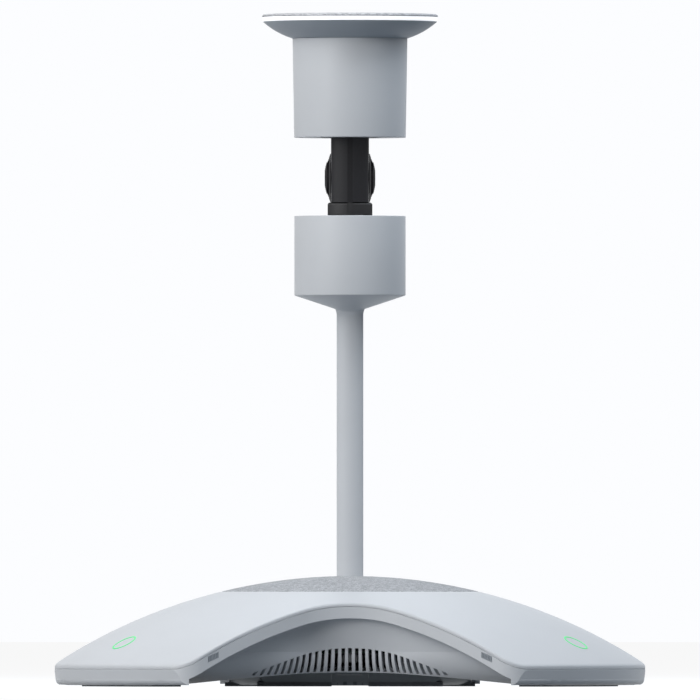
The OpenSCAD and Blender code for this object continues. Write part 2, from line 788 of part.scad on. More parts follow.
// A ring let into the dome, from a depth up to a height, whose top is as low as the dome at its rim
module touch_tube(grow, rise) {
    difference() {
        translate([0, 0, -touch_ring_d - grow])
            cylinder(r = touch_ring_r + grow, h = touch_ring_d + grow + rise, $fn = medium);
        translate([0, 0, -touch_ring_d - grow - cut])
            cylinder(r = touch_ring_r - touch_ring_w - grow, h = touch_ring_d + 3 * cut, $fn = medium);
    }
}
module touch_ring(turn) {
    color(green_light) rotate(turn) on_dome(touch_place_r)
        touch_tube(0, -pow(touch_ring_r, 2) / (2 * dome_r));
}
module touch_boards() {
    color(board_green) at_arms() on_dome(touch_place_r)
        translate([0, 0, -cover_t - 2 * fit_gap - board_t])
            cylinder(r = touch_board_r, h = board_t, $fn = medium);
}

// Hub in plan, drawn in by an inset
module hub_plan(inset) {
    difference() {
        circle(r = hub_r - inset, $fn = fine);
        for (turn = bite_turns) rotate(turn) translate([hub_flat - inset, -hub_r])
            square([hub_r, 2 * hub_r]);
    }
}
// The hub's bowl, drawn in by an inset, up to the underside of the tray
module hub_bowl(inset) {
    low = hub_floor_z + inset;
    edge = hub_edge_r - inset;
    intersection() {
        rotate_extrude($fn = fine) {
            square_to(low, hub_r - hub_edge_r, dome_top_z);
            translate([0, low + edge]) square([hub_r - inset, dome_top_z]);
            translate([hub_r - hub_edge_r, low + edge]) circle(r = edge, $fn = medium);
        }
        translate([0, 0, -cut]) linear_extrude(height = dome_top_z) hub_plan(inset);
        under_dome(inset > 0 ? cut : -fit_gap);
    }
}
module square_to(low, reach, high) {
    translate([0, low]) square([reach, high - low]);
}
// Bottom cover: the dark dish with the cable channel and the way into the connector bay
module bottom_cover() {
    color(dark_plastic) difference() {
        hub_bowl(0);
        difference() {
            hub_bowl(hub_wall);
            translate([-channel_half_w - hub_wall, -hub_r, 0])
                cube([2 * (channel_half_w + hub_wall), 2 * hub_r, channel_top_z + hub_wall]);
            translate([-bay_half_w - hub_wall, bay_start - hub_wall, 0])
                cube([2 * (bay_half_w + hub_wall), bay_len + 2 * hub_wall, dome_top_z]);
            at_hub_screws() cylinder(r = head_clear_r + hub_wall / 2, h = dome_top_z, $fn = small);
        }
        translate([-channel_half_w, -hub_r - cut, -cut])
            cube([2 * channel_half_w, 2 * (hub_r + cut), channel_top_z + cut]);
        translate([-bay_half_w, bay_start, -cut]) cube([2 * bay_half_w, bay_len, dome_top_z]);
        at_hub_screws() {
            translate([0, 0, -cut]) cylinder(r = boss_clear_r, h = dome_top_z, $fn = small);
            translate([0, 0, -cut]) cylinder(r = head_clear_r, h = cut + hub_screw_seat(), $fn = small);
        }
        at_hub_bars() hub_bar(fit_gap);
    }
}
function hub_screw_seat() = hub_floor_z + hub_wall + screw_head_h / 2;

// The rubber bars along the hub's flat sides, two to a side with the channel's width between
module at_hub_bars() {
    for (turn = bite_turns, side = [0, 1]) rotate(turn) mirror([0, side, 0]) children();
}
module hub_bar(grow) {
    half_flat = sqrt(pow(hub_r, 2) - pow(hub_flat, 2));
    translate([hub_flat - hub_foot_d - grow, channel_half_w - grow, -grow])
        cube([hub_foot_d + hub_foot_proud + 2 * grow, half_flat - channel_half_w + 2 * grow, hub_foot_h + 2 * grow]);
}
module hub_feet() {
    color(rubber) at_hub_bars() hub_bar(0);
}
module arm_feet() {
    color(rubber) at_arms() intersection() {
        linear_extrude(height = floor_top_z) arm_foot_plan(0);
        under_dome(arm_foot_pocket);
    }
}

// Comb across the front mouth of the cable channel
module cable_comb() {
    half = channel_half_w - fit_gap;
    color(dark_plastic) translate([0, -hub_flat + comb_t, 0]) rotate([90, 0, 0])
        linear_extrude(height = comb_t) difference() {
            translate([-half, comb_tip_z]) square([2 * half, channel_top_z - fit_gap - comb_tip_z]);
            for (side = [-1, 1]) {
                gap_mid = comb_tooth_half_w + comb_gap_w / 2;
                translate([side * gap_mid - comb_gap_w / 2, 0]) square([comb_gap_w, comb_gap_top_z]);
                translate([side * comb_slit_x - comb_slit_w / 2, 0]) square([comb_slit_w, comb_gap_top_z]);
            }
        }
}

// Perforated grille and its fabric, both following the dome
module speaker_grille() {
    color(dark_plastic) difference() {
        dome(fabric_t, 0, grille_r);
        dome(fabric_t + grille_t, -cut);
        cylinder(r = pole_half_w + 4 * fit_gap, h = 2 * dome_top_z, $fn = medium);
        for (ring = [1:grille_rings]) {
            ring_r = grille_r - grille_ledge_w - ring * grille_pitch + grille_pitch / 2;
            count = floor(2 * PI * ring_r / grille_pitch);
            for (i = [0:count - 1]) rotate(i * 360 / count) translate([ring_r, 0, 0])
                cylinder(r = grille_hole_r, h = 2 * dome_top_z, $fn = small);
        }
    }
}
module speaker_fabric() {
    color(cloth) difference() {
        dome(0, 0, grille_r);
        dome(fabric_t - fit_gap / 2, -cut);
        linear_extrude(height = 2 * dome_top_z) pole_oval(-2 * fit_gap);
    }
}

// Loudspeakers on their baffle
module speaker_baffle() {
    color(black_paper) difference() {
        translate([0, 0, baffle_z + fit_gap])
            cylinder(r = baffle_r, h = baffle_t - fit_gap, $fn = fine);
        cylinder(r = pole_socket_r + boss_wall, h = dome_top_z, $fn = medium);
        for (turn = bite_turns) rotate(turn) translate([speaker_place_r, 0, 0])
            cylinder(r = speaker_hole_r + fit_gap, h = dome_top_z, $fn = medium);
        at_posts() cylinder(r = boss_clear_r, h = dome_top_z, $fn = small);
    }
}
module speaker(turn) {
    basket_low_r = speaker_magnet_r + fit_gap;
    color(black_paper) rotate(turn) translate([speaker_place_r, 0, speaker_top_z]) rotate_extrude($fn = medium)
        polygon([
            [speaker_hole_r - speaker_rim_t, 0],
            [speaker_hole_r - speaker_rim_t, speaker_rim_t],
            [speaker_r, speaker_rim_t],
            [speaker_r, fit_gap],
            [speaker_hole_r, fit_gap],
            [speaker_hole_r, -baffle_t],
            [basket_low_r, -speaker_basket_d],
            [speaker_magnet_r, -speaker_basket_d],
            [speaker_magnet_r, -speaker_basket_d - speaker_magnet_h],
            [0, -speaker_basket_d - speaker_magnet_h],
            [0, -speaker_basket_d + speaker_rim_t],
            [basket_low_r - speaker_rim_t, -speaker_basket_d + speaker_rim_t]
        ]);
}
module cone(turn) {
    surround_r = speaker_r - speaker_rim_t / 2;
    edge_r = speaker_hole_r - 1.5 * speaker_rim_t;
    cap_r = speaker_magnet_r / 2.5;
    low = -speaker_basket_d + 2.5 * speaker_rim_t;
    t = speaker_rim_t / 3;
    color("#35383b") rotate(turn) translate([speaker_place_r, 0, speaker_top_z]) rotate_extrude($fn = medium)
        polygon([
            [0, low],
            [cap_r, low],
            [edge_r, speaker_rim_t + fit_gap],
            [surround_r, speaker_rim_t + fit_gap],
            [surround_r, speaker_rim_t + fit_gap + t],
            [(surround_r + edge_r) / 2, speaker_rim_t + fit_gap + 2 * t],
            [edge_r, speaker_rim_t + fit_gap + t],
            [cap_r, low + 2 * t],
            [cap_r / 2, low + 3 * t],
            [0, low + 3.5 * t]
        ]);
}

// Main board round the pole's flange, with its parts, and the heat sink on its processor
module main_board() {
    chip = sink_side / 2;
    color(board_green) difference() {
        translate([0, 0, board_z + fit_gap]) union() {
            cylinder(r = board_r, h = board_t, $fn = fine);
            rotate(arm_turns[0]) translate([speaker_place_r - chip / 2, -chip / 2, 0])
                cube([chip, chip, 2 * board_t]);
            for (side = [-1, 0, 1]) rotate(arm_turns[1] + side * flank_angle / 1.5)
                translate([speaker_place_r, -chip / 4, 0]) cube([chip, chip / 2, 2 * board_t]);
        }
        cylinder(r = pole_flange_r + boss_wall, h = 2 * dome_top_z, $fn = medium);
        translate([-bay_half_w - 2 * tray_wall, bay_start - 6 * tray_wall, 0])
            cube([2 * (bay_half_w + 2 * tray_wall), board_r, 2 * dome_top_z]);
    }
}
module heat_sink() {
    pitch = (sink_side - sink_t) / (sink_fins - 1);
    low = board_z + fit_gap + 2 * board_t + fit_gap;
    color(aluminium) rotate(arm_turns[0]) translate([speaker_place_r - sink_side / 2, -sink_side / 2, low]) {
        cube([sink_side, sink_side, sink_t]);
        for (i = [0:sink_fins - 1]) translate([i * pitch, 0, 0]) cube([sink_t, sink_side, sink_h]);
    }
}

// The port block behind the bay's wall: power, two small data ports and a video port
port_places_share = [-0.72, -0.2, 0.28, 0.76];
port_z = (floor_top_z + bay_top_z) / 2;
port_half_h = 2.9;
jack_r = 3.2;
slim_port_r = 1.6;
slim_port_half_w = 3;
video_port_half_w = 5.5;
module port_shapes(grow, near, far) {
    translate([0, far, port_z]) rotate([90, 0, 0]) linear_extrude(height = far - near) {
        translate([port_places_share[0] * bay_half_w, 0]) circle(r = jack_r + grow, $fn = small);
        for (place = [port_places_share[1], port_places_share[3]]) translate([place * bay_half_w, 0])
            for (side = [-1, 1]) {
                translate([side * slim_port_half_w / 2, 0]) circle(r = slim_port_r + grow, $fn = small);
                square([slim_port_half_w, 2 * (slim_port_r + grow)], center = true);
            }
        translate([port_places_share[2] * bay_half_w, 0])
            square([video_port_half_w + 2 * grow, 2 * (port_half_h + grow)], center = true);
    }
}
module port_block() {
    near = bay_start - tray_wall - fit_gap;
    depth = 3 * tray_wall;
    half_w = bay_half_w;
    color(dark_plastic) difference() {
        translate([-half_w, near - depth, floor_top_z + fit_gap])
            cube([2 * half_w, depth, bay_top_z - floor_top_z]);
        port_shapes(-fit_gap, near - depth + tray_wall, near + cut);
    }
}

// Microphones in the arms' sides
module mic_grilles() {
    slot_w = mic_len / (3 * mic_slots);
    color("#8d949b") at_flanks() difference() {
        slanted_plate(mic_len / 2, mic_h / 2, 0, mic_t);
        for (i = [0:mic_slots - 1]) {
            along = (i + 0.5) * mic_len / mic_slots - mic_len / 2;
            translate([-cut, along - slot_w / 2, -along * tan(mic_slope) - mic_h / 2 + slot_w])
                cube([cut + mic_t / 2, slot_w, mic_h - 2 * slot_w]);
        }
    }
}
module mic_boards() {
    color(board_green) at_flanks() translate([0, 0, tray_wall / 2])
        slanted_plate(mic_len / 2, mic_h / 3, tray_wall + fit_gap, tray_wall + fit_gap + board_t / 2);
}

// Screws
module cover_screws() {
    color(steel) at_cover_bosses() screw(cover_screw_seat_z - fit_gap, cover_screw_len);
}
module hub_screws() {
    color(steel) at_hub_screws() screw(hub_screw_seat() - fit_gap, board_z - 3 * boss_wall - hub_screw_seat());
}
module baffle_screws() {
    color(steel) at_posts() screw_down(speaker_top_z + fit_gap, baffle_t + 3 * boss_wall);
}
module pole_screws() {
    color(steel) at_pole_screws() screw(under_z(pole_screw_r) - fit_gap, tray_wall + pole_flange_t);
}

// The oval section of the pole, drawn in by an inset
module pole_oval(inset) {
    half = pole_tangent_share * (pole_arc_r - inset);
    intersection() {
        translate([0, -pole_arc_c]) circle(r = pole_arc_r - inset, $fn = fine);
        translate([0, pole_arc_c]) circle(r = pole_arc_r - inset, $fn = fine);
        square([2 * half, 4 * pole_half_d], center = true);
    }
    for (side = [-1, 1]) translate([side * pole_end_c, 0])
        circle(r = pole_end_r + corner_blend - inset, $fn = medium);
}
module pole() {
    color(paint) translate([0, 0, pole_bottom_z]) linear_extrude(height = can_floor_z - pole_bottom_z)
        difference() {
            pole_oval(0);
            pole_oval(pole_wall);
        }
}
module pole_base() {
    flange_low_z = pad_top_z + fit_gap;
    color(aluminium) difference() {
        union() {
            translate([0, 0, flange_low_z]) cylinder(r = pole_flange_r, h = pole_flange_t, $fn = medium);
            translate([0, 0, flange_low_z])
                cylinder(r = pole_socket_r, h = socket_top_z - flange_low_z, $fn = medium);
            for (side = [-1, 1]) translate([0, side * boss_wall / 2, flange_top_z]) rotate([90, 0, 0])
                mirror([0, 0, side < 0 ? 1 : 0]) linear_extrude(height = boss_wall / 2)
                    gusset_plan();
        }
        translate([0, 0, pole_bottom_z - fit_gap]) linear_extrude(height = dome_top_z) pole_oval(-fit_gap);
        linear_extrude(height = dome_top_z) pole_oval(pole_wall);
        at_pole_screws() translate([0, 0, flange_low_z - cut])
            cylinder(r = boss_bore_r, h = pole_flange_t + 2 * cut, $fn = small);
    }
}
module gusset_plan() {
    rise = pole_socket_h / 2;
    polygon([
        [-pole_flange_r, 0],
        [pole_flange_r, 0],
        [pole_socket_r, rise],
        [-pole_socket_r, rise]
    ]);
}

// Lower can with the cone under it and the neck that flares on to the pole
module lower_can() {
    inner_r = can_r - can_wall;
    color(paint) difference() {
        union() {
            rotate_extrude($fn = fine) difference() {
                polygon([
                    [0, cone_tip_z],
                    [can_r, can_bottom_z],
                    [can_r, can_top_z],
                    [0, can_top_z]
                ]);
                polygon([
                    [0, can_floor_z],
                    [bush_r - can_wall, can_floor_z],
                    [inner_r, can_floor_z + (inner_r - bush_r + can_wall) * tan(cone_slope)],
                    [inner_r, plate_bottom_z - 3 * plate_ledge_w],
                    [inner_r - plate_ledge_w, plate_bottom_z - 2 * plate_ledge_w],
                    [inner_r - plate_ledge_w, plate_bottom_z],
                    [inner_r, plate_bottom_z],
                    [inner_r, can_top_z + cut],
                    [0, can_top_z + cut]
                ]);
            }
            neck();
        }
        translate([0, 0, cone_tip_z - neck_flare_h - cut])
            linear_extrude(height = can_floor_z + neck_flare_h + 2 * cut - cone_tip_z) pole_oval(-fit_gap / 2);
    }
}
module neck() {
    mouth_z = cone_tip_z + (pole_half_w + neck_flare) * tan(cone_slope) + 3 * fit_gap;
    steps = 4;
    for (i = [0:steps - 1]) hull() {
        neck_slice(mouth_z, i / steps);
        neck_slice(mouth_z, (i + 1) / steps);
    }
}
module neck_slice(mouth_z, share) {
    least = 3 * fit_gap;
    grow = least + (neck_flare - least) * (1 - sqrt(1 - pow(1 - share, 2)));
    slice_t = fit_gap / 4;
    translate([0, 0, mouth_z - share * neck_flare_h]) linear_extrude(height = slice_t)
        scale([1 + grow / pole_half_w, 1 + grow / pole_half_d, 1]) pole_oval_coarse();
}
module pole_oval_coarse() {
    scale([pole_half_w, pole_half_d]) circle(r = 1, $fn = small);
}

// The opening in the can's top plate, for the column and its lenses
module opening_plan(inset) {
    intersection() {
        circle(r = opening_r - inset, $fn = fine);
        square([2 * (opening_half_w - inset), 3 * opening_r], center = true);
    }
}
module can_top_plate() {
    color(paint) translate([0, 0, plate_bottom_z]) linear_extrude(height = plate_t) difference() {
        circle(r = can_r - can_wall - fit_gap, $fn = fine);
        opening_plan(0);
    }
}

// Bush that guides the blade at the can's floor, with a spigot down inside the pole
module guide_bush() {
    rim_r = bush_r - can_wall;
    color("#e3e4e0") difference() {
        union() {
            rotate_extrude($fn = medium) polygon([
                [0, can_floor_z + fit_gap],
                [rim_r - fit_gap, can_floor_z + fit_gap],
                [rim_r + can_wall, can_floor_z + fit_gap + (can_wall + fit_gap) * tan(cone_slope) + fit_gap],
                [rim_r + can_wall, bush_top_z],
                [0, bush_top_z]
            ]);
            translate([0, 0, can_floor_z - bush_spigot_len]) linear_extrude(height = bush_spigot_len + can_wall)
                pole_oval(pole_wall + fit_gap / 2);
        }
        translate([0, 0, can_floor_z - 2 * bush_spigot_len]) linear_extrude(height = 4 * bush_spigot_len)
            blade_plan(slide_gap);
        translate([0, 0, can_floor_z - bush_spigot_len - cut]) linear_extrude(height = bush_spigot_len)
            spring_plan(fit_gap);
    }
}
module blade_plan(grow) {
    square([2 * (blade_half_w + grow), 2 * (blade_half_d + grow)], center = true);
}
// A bowed leaf beside the blade that gives the slide its friction
spring_half_w = 2.2;
spring_t = 0.35;
module spring_plan(grow) {
    translate([-spring_half_w - grow, blade_half_d]) square([2 * (spring_half_w + grow), 2 * spring_t + grow]);
}
module friction_spring() {
    length = 0.8 * bush_spigot_len;
    low = can_floor_z - bush_spigot_len + fit_gap;
    near = blade_half_d + slide_gap / 3;
    color(steel) translate([spring_half_w, 0, low]) rotate([90, 0, -90]) linear_extrude(height = 2 * spring_half_w)
        polygon([
            [-near - spring_t, 0],
            [-near - 2 * spring_t, 0],
            [-near - spring_t, length / 2],
            [-near - 2 * spring_t, length],
            [-near - spring_t, length],
            [-near, length / 2]
        ]);
}
module guide_blade() {
    color(steel) translate([0, 0, blade_bottom_z]) linear_extrude(height = collar_top_z - blade_bottom_z)
        blade_plan(0);
}

// The camera column's section: a drum between two flat sides
module column_plan(half_w, inset) {
    intersection() {
        circle(r = column_r - inset, $fn = fine);
        square([2 * (half_w - inset), 3 * column_r], center = true);
    }
}
// Black core: the collar with its stop tabs, the middle strip and the top flange
module camera_frame() {
    color(camera_black) difference() {
        union() {
            collar();
            translate([0, 0, tab_bottom_z]) linear_extrude(height = frame_flange_top_z - tab_bottom_z)
                intersection() {
                    circle(r = column_r - strip_recess, $fn = fine);
                    square([2 * strip_half_w, 3 * column_r], center = true);
                }
            translate([0, 0, frame_flange_z])
                cylinder(r = frame_flange_r, h = frame_flange_t, $fn = medium);
            translate([-tab_half_w, -tab_half_d, tab_bottom_z]) cube([2 * tab_half_w, 2 * tab_half_d, tab_t]);
        }
        translate([0, 0, tab_bottom_z - cut]) linear_extrude(height = collar_top_z + cut + fit_gap - tab_bottom_z)
            blade_plan(fit_gap / 4);
        for (side = [-1, 1]) translate([-strip_half_w, side * column_r - strip_recess, can_top_z + strip_half_w])
            cube([2 * strip_half_w, 2 * strip_recess, collar_h]);
        at_head_screws() cylinder(r = boss_bore_r, h = 2 * head_top_z, $fn = small);
    }
}
module collar() {
    low = tab_bottom_z;
    edge_z = collar_top_z - collar_edge_r;
    intersection() {
        rotate_extrude($fn = fine) {
            translate([0, low]) square([column_r, edge_z - low]);
            translate([0, low]) square([column_r - collar_edge_r, collar_top_z - low]);
            translate([column_r - collar_edge_r, edge_z]) circle(r = collar_edge_r, $fn = small);
        }
        translate([0, 2 * column_r, 0]) rotate([90, 0, 0]) linear_extrude(height = 4 * column_r) {
            translate([-collar_half_w, low]) square([2 * collar_half_w, edge_z - low]);
            translate([collar_edge_r - collar_half_w, low])
                square([2 * (collar_half_w - collar_edge_r), collar_top_z - low]);
            for (side = [-1, 1]) translate([side * (collar_half_w - collar_edge_r), edge_z])
                circle(r = collar_edge_r, $fn = small);
        }
    }
}
// One half of the column's cover, with the bore of its lens. side is 1 on +X, -1 on -X
module camera_shell(side) {
    low = collar_top_z + fit_gap;
    high = frame_flange_z - fit_gap;
    color(camera_black) mirror([side < 0 ? 1 : 0, 0, 0]) difference() {
        translate([0, 0, low]) linear_extrude(height = high - low) difference() {
            column_plan(column_half_w, 0);
            translate([-2 * column_r + strip_half_w + fit_gap, -2 * column_r]) square([2 * column_r, 4 * column_r]);
        }
        translate([0, 0, lens_z]) rotate([0, 90, 0]) {
            cylinder(r = barrel_r + fit_gap, h = 2 * column_half_w, $fn = medium);
            translate([0, 0, glass_back - fit_gap]) cylinder(r = glass_r + fit_gap, h = column_half_w, $fn = medium);
        }
        translate([0, -sensor_half[0] - fit_gap, lens_z - sensor_half[1] - fit_gap])
            cube([strip_half_w + sensor_board_t + 2 * fit_gap, 2 * (sensor_half[0] + fit_gap), 2 * (sensor_half[1] + fit_gap)]);
        translate([0, 0, head_floor_top_z - column_half_w]) cylinder(r = barrel_r, h = column_half_w * 2, $fn = medium);
    }
}

// The parts of a lens, revolved about its axis
module in_lens(side) {
    translate([0, 0, lens_z]) rotate([0, side * 90, 0]) children();
}
function glass_x(r) = dome_glass_c + sqrt(pow(dome_glass_r, 2) - r * r);
module lens_bezel(side) {
    seat = column_half_w + fit_gap / 2;
    step_r = glass_r + 2 * fit_gap;
    top = glass_x(step_r) - 2 * fit_gap;
    steps = [
        for (i = [0:bezel_steps - 1]) each [
            [step_r + i * bezel_step_w, top - i * bezel_step_h],
            [step_r + (i + 1) * bezel_step_w, top - i * bezel_step_h]
        ]
    ];
    color(camera_black) in_lens(side) rotate_extrude($fn = medium) polygon(concat(
        [[step_r, seat]],
        steps,
        [
            [step_r + bezel_steps * bezel_step_w, glass_x(step_r + bezel_steps * bezel_step_w)],
            [bezel_r, column_half_w + bezel_edge_t + fit_gap],
            [bezel_r, seat]
        ]
    ));
}
module lens_glass(side) {
    color("#3a2f4a") in_lens(side) rotate_extrude($fn = medium) intersection() {
        translate([0, glass_back]) square([glass_r, 2 * column_half_w]);
        translate([0, dome_glass_c]) circle(r = dome_glass_r, $fn = fine);
    }
}
module lens_barrel(side) {
    neck_r = barrel_r - 2 * fit_gap - sensor_board_t;
    step_x = (barrel_back + barrel_front) / 2;
    color("#46484b") in_lens(side) rotate_extrude($fn = medium) polygon([
        [0, barrel_back],
        [barrel_r, barrel_back],
        [barrel_r, step_x],
        [neck_r, step_x],
        [neck_r, barrel_front - sensor_board_t],
        [barrel_r, barrel_front - sensor_board_t],
        [barrel_r, barrel_front],
        [neck_r / 2, barrel_front],
        [0, barrel_front - sensor_board_t]
    ]);
}
module sensor_boards() {
    color(board_green) for (side = [0, 1]) mirror([side, 0, 0])
        translate([strip_half_w + fit_gap / 2, -sensor_half[0], lens_z - sensor_half[1]])
            cube([sensor_board_t, 2 * sensor_half[0], 2 * sensor_half[1]]);
}

// Upper can, in one moulding with its floor, which the column passes through
module upper_can() {
    color(paint) difference() {
        rotate_extrude($fn = fine) polygon([
            [0, head_bottom_z],
            [head_r_low, head_bottom_z],
            [head_r_high, head_top_z],
            [head_r_high - head_wall, head_top_z],
            [head_r_low - head_wall, head_floor_top_z],
            [0, head_floor_top_z]
        ]);
        translate([0, 0, head_bottom_z - cut]) linear_extrude(height = 2 * head_wall + cut)
            column_plan(column_half_w, -fit_gap);
        at_head_screws() translate([0, 0, head_bottom_z - cut])
            cylinder(r = boss_bore_r, h = head_wall + 2 * cut, $fn = small);
    }
}
module at_head_screws() {
    for (turn = bite_turns) rotate(turn) translate([frame_flange_r - boss_r, 0, 0]) children();
}
module head_screws() {
    seat_z = chassis_z + chassis_t + fit_gap;
    color(steel) at_head_screws() screw_down(seat_z, seat_z - head_bottom_z - 2 * fit_gap);
}
// Frame over the column's flange, with pillars for the processor board
module head_chassis() {
    color(aluminium) difference() {
        union() {
            translate([0, 0, chassis_z]) cylinder(r = head_board_r, h = chassis_t, $fn = medium);
            at_pillars() translate([0, 0, chassis_z]) cylinder(r = pillar_r, h = chassis_t + pillar_h, $fn = small);
        }
        translate([0, 0, chassis_z - cut]) cylinder(r = barrel_r + sensor_board_t, h = chassis_t + 2 * cut, $fn = medium);
        at_head_screws() translate([0, 0, chassis_z - cut])
            cylinder(r = boss_bore_r, h = chassis_t + 2 * cut, $fn = small);
    }
}
module at_pillars() {
    for (turn = arm_turns) rotate(turn) translate([pillar_place_r, 0, 0]) children();
}
module processor_board() {
    chip = head_board_r / 2;
    color(board_green) translate([0, 0, head_board_z + fit_gap]) {
        cylinder(r = head_board_r, h = board_t, $fn = medium);
        translate([-chip / 2, -chip / 2, -board_t / 2]) cube([chip, chip, board_t]);
    }
}
module head_heat_sink() {
    sink_r = head_board_r - 3 * fit_gap;
    pitch = 2 * sink_r / (sink_fins + 1);
    color(aluminium) translate([0, 0, head_sink_z]) {
        cylinder(r = sink_r, h = sink_t, $fn = medium);
        intersection() {
            cylinder(r = sink_r, h = sink_h, $fn = medium);
            for (i = [1:sink_fins]) translate([i * pitch - sink_r - sink_t / 2, -sink_r, 0])
                cube([sink_t, 2 * sink_r, sink_h]);
        }
    }
}

// A point on the flare's bowed outside, a share of the way up
function flare_point(share) =
    let (low = [head_r_high + fit_gap * flare_slope, head_top_z + fit_gap], high = [disc_r, flare_top_z])
    low + share * (high - low)
        + 4 * share * (1 - share) * flare_bow * [high[1] - low[1], low[0] - high[0]] / norm(high - low);

// Flare that spreads from the can to the top disc, with a skirt inside the can
module top_flare() {
    in_low = head_r_high - head_wall - fit_gap;
    shell_x = head_wall * sqrt(1 + pow(flare_slope, 2));
    color("#7b838a") rotate_extrude($fn = fine) difference() {
        union() {
            polygon(concat(
                [[0, head_top_z + fit_gap]],
                [for (i = [0:flare_steps]) flare_point(i / flare_steps)],
                [[0, flare_top_z]]
            ));
            translate([0, head_top_z - skirt_h]) square([in_low, skirt_h + cut]);
        }
        polygon([
            [0, head_top_z - skirt_h - cut],
            [in_low - head_wall, head_top_z - skirt_h - cut],
            [in_low - head_wall, head_top_z],
            [disc_r - ring_w - shell_x, mic_array_z],
            [disc_r - ring_w - shell_x, flare_top_z + cut],
            [0, flare_top_z + cut]
        ]);
    }
}
module mic_array_board() {
    color(board_green) translate([0, 0, mic_array_z + fit_gap])
        cylinder(r = disc_r - ring_w - head_wall * sqrt(1 + pow(flare_slope, 2)) - fit_gap, h = board_t, $fn = medium);
}
module light_ring() {
    low = flare_top_z + fit_gap;
    color(white_light) rotate_extrude($fn = fine) polygon([
        [disc_r - ring_w, low],
        [disc_r, low],
        [disc_r, ring_top_z],
        [disc_r - ring_w, ring_top_z]
    ]);
}
// Perforated plate under the top fabric, seated in the light ring
module top_grille() {
    low = ring_top_z - top_grille_t;
    rim_r = disc_r - ring_w - fit_gap;
    color(dark_plastic) difference() {
        union() {
            translate([0, 0, low]) cylinder(r = rim_r, h = top_grille_t + top_fabric_h / 2, $fn = fine);
            difference() {
                translate([0, 0, flare_top_z + 2 * fit_gap]) cylinder(r = rim_r, h = ring_h, $fn = fine);
                translate([0, 0, flare_top_z - cut]) cylinder(r = rim_r - head_wall, h = 2 * ring_h, $fn = fine);
            }
        }
        for (ring = [1:grille_rings - 1]) {
            ring_r = ring * grille_pitch;
            count = floor(2 * PI * ring_r / grille_pitch);
            for (i = [0:count - 1]) rotate(i * 360 / count) translate([ring_r, 0, flare_top_z])
                cylinder(r = grille_hole_r, h = 4 * ring_h, $fn = small);
        }
    }
}
module top_fabric() {
    out_r = disc_r + fabric_proud;
    low = ring_top_z + fit_gap;
    edge_z = fabric_top_z - top_fabric_edge_r;
    color(cloth) rotate_extrude($fn = fine) difference() {
        union() {
            translate([0, low]) square([out_r, edge_z - low]);
            translate([0, low]) square([out_r - top_fabric_edge_r, fabric_top_z - low]);
            intersection() {
                translate([out_r - top_fabric_edge_r, edge_z]) circle(r = top_fabric_edge_r, $fn = medium);
                translate([0, low]) square([out_r, top_fabric_h]);
            }
        }
        translate([0, low - cut]) square([disc_r - ring_w, cut + top_fabric_h / 2]);
    }
}

base_tray();
top_cover();
bottom_cover();
cable_comb();
hub_feet();
arm_feet();
speaker_grille();
speaker_fabric();
speaker_baffle();
speaker(bite_turns[0]);  // speaker_front
speaker(bite_turns[2]);  // speaker_left
speaker(bite_turns[1]);  // speaker_right
cone(bite_turns[0]);  // cone_front
cone(bite_turns[2]);  // cone_left
cone(bite_turns[1]);  // cone_right
main_board();
heat_sink();
port_block();
mic_grilles();
mic_boards();
touch_ring(arm_turns[0]);  // touch_ring_left
touch_ring(arm_turns[1]);  // touch_ring_right
touch_ring(arm_turns[2]);  // touch_ring_back
touch_boards();
cover_screws();
hub_screws();
baffle_screws();
pole_screws();
pole_base();
pole();
lower_can();
can_top_plate();
guide_bush();
friction_spring();
guide_blade();
camera_frame();
camera_shell(-1);  // camera_shell_left
camera_shell(1);  // camera_shell_right
lens_bezel(-1);  // lens_bezel_left
lens_bezel(1);  // lens_bezel_right
lens_glass(-1);  // lens_glass_left
lens_glass(1);  // lens_glass_right
lens_barrel(-1);  // lens_barrel_left
lens_barrel(1);  // lens_barrel_right
sensor_boards();
upper_can();
head_chassis();
processor_board();
head_heat_sink();
head_screws();
top_flare();
light_ring();
mic_array_board();
top_grille();
top_fabric();
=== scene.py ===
# %% [markdown]
# # A tabletop conference camera
#
# A three-armed speaker base lies on the table like a low dome. A flat oval pole rises from it to
# a can, and a camera head stands in that can: a black column with a wide lens on each side, a
# second can above it, and a cloth-topped disc with a white band of light under its edge.
#
# The hard parts come from a CAD model whose solids are already the right shape. Blender adds what
# CAD leaves out: soft edges, cloth, glass, light and the surface of each material.

# %% The CAD model
import math

import bmesh
import bpy
from mathutils import Matrix, Vector


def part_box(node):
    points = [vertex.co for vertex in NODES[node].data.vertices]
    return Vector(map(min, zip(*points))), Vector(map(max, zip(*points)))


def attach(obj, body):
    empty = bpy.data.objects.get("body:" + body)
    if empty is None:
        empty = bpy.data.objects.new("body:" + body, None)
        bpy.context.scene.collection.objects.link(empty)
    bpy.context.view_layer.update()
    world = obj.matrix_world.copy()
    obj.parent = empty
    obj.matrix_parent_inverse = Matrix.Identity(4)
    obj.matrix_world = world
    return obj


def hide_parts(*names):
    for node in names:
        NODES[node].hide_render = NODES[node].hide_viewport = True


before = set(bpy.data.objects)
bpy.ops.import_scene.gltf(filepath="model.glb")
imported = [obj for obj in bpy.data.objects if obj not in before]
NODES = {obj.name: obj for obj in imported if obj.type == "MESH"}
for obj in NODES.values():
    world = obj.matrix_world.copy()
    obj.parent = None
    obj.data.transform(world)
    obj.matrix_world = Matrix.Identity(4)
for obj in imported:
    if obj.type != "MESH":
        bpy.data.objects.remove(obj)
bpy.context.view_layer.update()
MM = 0.001

# %% [markdown]
# ## Camera
#
# The photograph looks at the object level, from the front, and from so far away that circles
# seen edge-on are straight lines. A very long lens does that, and it stays a real lens, so other
# views can be taken with it. The object is 370 mm tall, and the square picture takes in 385 mm.

